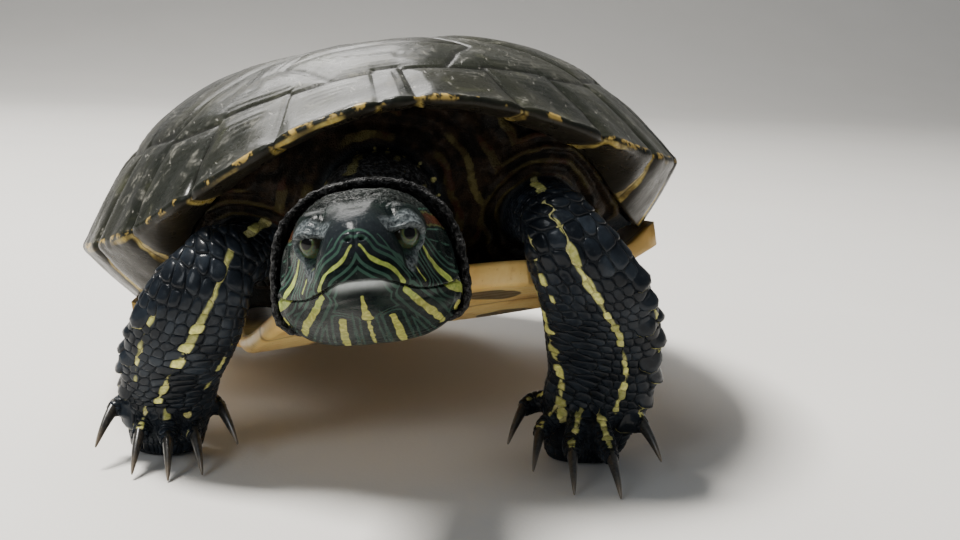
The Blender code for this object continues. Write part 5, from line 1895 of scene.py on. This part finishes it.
def make_plastron():
    """Underside of the shell with its plates."""
    t = np.linspace(0.0, 1.0, 330)
    y = PLASTRON_FRONT + 0.3 + (PLASTRON_REAR - PLASTRON_FRONT - 0.6) * (0.5 - 0.5 * np.cos(pi * t))
    half = plastron_outline(y)[:, None]
    across = np.linspace(-1.0, 1.0, 241)
    x = half * np.sign(across) * (1 - (1 - np.abs(across)) ** 1.35)
    yy = np.repeat(y[:, None], len(across), axis=1)
    away = np.abs(x)
    level = plastron_underside(x, yy)
    # Rounded margin, thin at the edge but where the bridges join it.
    edge_gap = np.minimum(half - away, np.minimum(yy - PLASTRON_FRONT, PLASTRON_REAR - yy) * 1.2)
    joined = smooth_step(half, 70.0, 76.0)
    round_off = (1 - np.sqrt(1 - (1 - np.clip(edge_gap / 2.4, 0, 1)) ** 2)) * (1 - joined)
    lips = LIP_THICKENING * smooth_step(-yy, 66.0, 92.0)
    bottom = level + round_off * (PLASTRON_THICKNESS * 0.45)
    top = level + PLASTRON_THICKNESS + lips - round_off * (PLASTRON_THICKNESS * 0.45 + lips * 0.5)
    top = top + 1.6 * joined * smooth_step(away, 66.0, 75.0)
    seams = np.stack([
        away + 0 * yy,
        yy + 70.0 + 0.10 * away,
        yy + 43.0 - 0.14 * away,
        yy + 8.0 + 0.04 * away,
        yy - 36.0 - 0.06 * away,
        yy - 62.0 + 0.28 * away,
        np.where(np.abs(yy) < 46, away - 54.0 - 0.002 * yy**2, 20.0),
    ])
    gap = np.abs(seams + 0.35 * flat_noise(x, yy, 8.0, 81)).min(axis=0)
    groove = 0.35 * (1 - smooth_step(gap, 0.0, 0.9))
    growth = 0.05 * np.sin(gap * 2.4 + flat_noise(x, yy, 14.0, 82) * 2)
    relief = groove - growth * smooth_step(gap, 1.0, 3.0) * (1 - smooth_step(gap, 14.0, 20.0))
    relief += 0.16 * flat_noise(x, yy, 11.0, 83)
    bottom = bottom + relief * (1 - round_off)
    # A dark smudged figure on each plate.
    middle, width = np.moveaxis(FIGURES[(seams[1:6] > 0).sum(axis=0)], -1, 0)
    out = np.hypot((away - 0.52 * np.minimum(half, 48.0)) / (width * 0.9), (yy - middle) / (width * 0.75))
    figure = 0.75 - out + 0.5 * flat_noise(x, yy, 9.0, 84) + 0.25 * flat_noise(x, yy, 3.5, 85)
    both = lambda under, over: np.concatenate([under, over[:, ::-1]], axis=1)
    points = both(np.stack([x, yy, bottom], -1), np.stack([x, yy, top], -1)).reshape(-1, 3)
    sides = 2 * len(across)
    faces = turned_to((0, 0, -1), points, grid_faces(len(y), sides))
    ends = []
    for row, way in ((0, -1), (len(y) - 1, 1)):
        j = np.arange(len(across) - 1)
        k = sides - 1 - j
        ends.append(turned_to((0, way, 0), points, np.stack([j, k, k - 1, j + 1], -1) + row * sides))
    shell = make_mesh("plastron_plates", from_shell(points), (faces, *ends), plastron_paint())
    add_values(shell, seam_gap=both(gap, gap), blotch=both(figure, figure * 0 - 3.0))
    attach(shell, "root")
    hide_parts("plastron")


def make_eyes(paint):
    """Both eyeballs, each with the measures that its iris is drawn by."""
    away = np.r_[np.linspace(0.012, 1.2, 60), np.linspace(1.26, pi - 0.02, 24)]
    out, turned = np.meshgrid(away, circle(96), indexing="ij")
    sideways = np.sin(out) * np.cos(turned)
    upward = np.sin(out) * np.sin(turned)
    radius = EYE_RADIUS - 0.15 + 0.22 * (1 - smooth_step(out, 0.35, 0.75))
    for mirror, word in ((1, "left"), (-1, "right")):
        centre, gaze, level, rise = eye_frame(mirror)
        way = np.cos(out)[..., None] * gaze + sideways[..., None] * level + upward[..., None] * rise
        points = (centre + way * radius[..., None]).reshape(-1, 3)
        faces, _ = turned_out(points, grid_faces(*out.shape))
        points, pupil = close_cap(points, out.shape[1])
        pupil = turned_to(gaze, points, pupil)
        eye = make_mesh("eyeball_" + word, from_head(points), (faces, pupil), paint)
        reach = np.degrees(out).ravel() / LID_OPENING
        height = upward.ravel() / sin(radians(LID_OPENING))
        add_values(eye, reach=np.r_[reach, 0.0], height=np.r_[height, 0.0])
        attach(eye, "root")
        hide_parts("eye_" + word)


CLAW_SIDES = 28
CLAW_TIP_RADIUS = 0.22
CLAW_BASE_RADIUS = 1.62


def make_claws(coat, paint):
    """Long curved claws, each flattened a little at the sides."""
    angles = circle(CLAW_SIDES)
    wide = 0.82 * np.cos(angles) * (1 + 0.06 * np.cos(2 * angles))
    high = 1.12 * np.sin(angles)
    steps = np.r_[-0.22, -0.1, np.linspace(0.0, 1.0, 22)]
    radii = CLAW_TIP_RADIUS + (CLAW_BASE_RADIUS - CLAW_TIP_RADIUS) * (1 - np.clip(steps, 0, 1)) ** 0.72
    for (word, number), limb in coat.toes.items():
        claw_length = TOE_SHAPES[word[:4]][1]
        _, _, way = toe_stations(word, TOES[word][number - 1])
        side = unit(np.cross(way, (0, 0, 1)))
        down = unit(np.cross(way, side))
        down *= -np.sign(down[2])
        base = limb.path[-1] + limb.ahead[-1] * 0.3
        rings = []
        for t, radius in zip(steps, radii):
            centre = base + way * (claw_length * t) + down * (CLAW_DROOP * t * abs(t))
            rings.append(centre + np.outer(radius * wide, side) + np.outer(radius * high, down))
        end = rings[-1].mean(axis=0)
        rings.append(end + (rings[-1] - end) * 0.5 + way * 0.1)
        points, faces = closed_tube(rings)
        faces, _ = turned_out(points, faces)
        points[:, 2] = np.maximum(points[:, 2], 0.03)
        claw = make_mesh(f"claw_{word}_{number}", points, (faces,), paint)
        add_values(claw, tip=np.r_[np.repeat(np.r_[steps, 1.0], CLAW_SIDES), -0.2, 1.0])
        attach(claw, "root")
        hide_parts(f"{word}_claw_{number}")


def main():
    """Makes every piece."""
    coat = Coat()
    rows, columns, voxel = ((300, 480, 0.62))
    skin, points, quads = make_skin(coat, rows, columns, voxel)
    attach(skin, "root")
    flesh = ["trunk", "neck", "head", "lower_jaw", "tail"]
    for word in LOWER_LEGS:
        flesh += [word + "_upper", word + "_lower", word + "_foot"]
    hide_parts(*flesh)
    tree = BVHTree.FromPolygons(points.tolist(), quads.tolist())
    make_scales(coat, tree, skin_roots())
    shell = make_carapace()
    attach(shell, "root")
    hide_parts("carapace")
    make_plastron()
    make_eyes(eye_paint())
    make_claws(coat, claw_paint())


set_camera()
set_studio()
main()
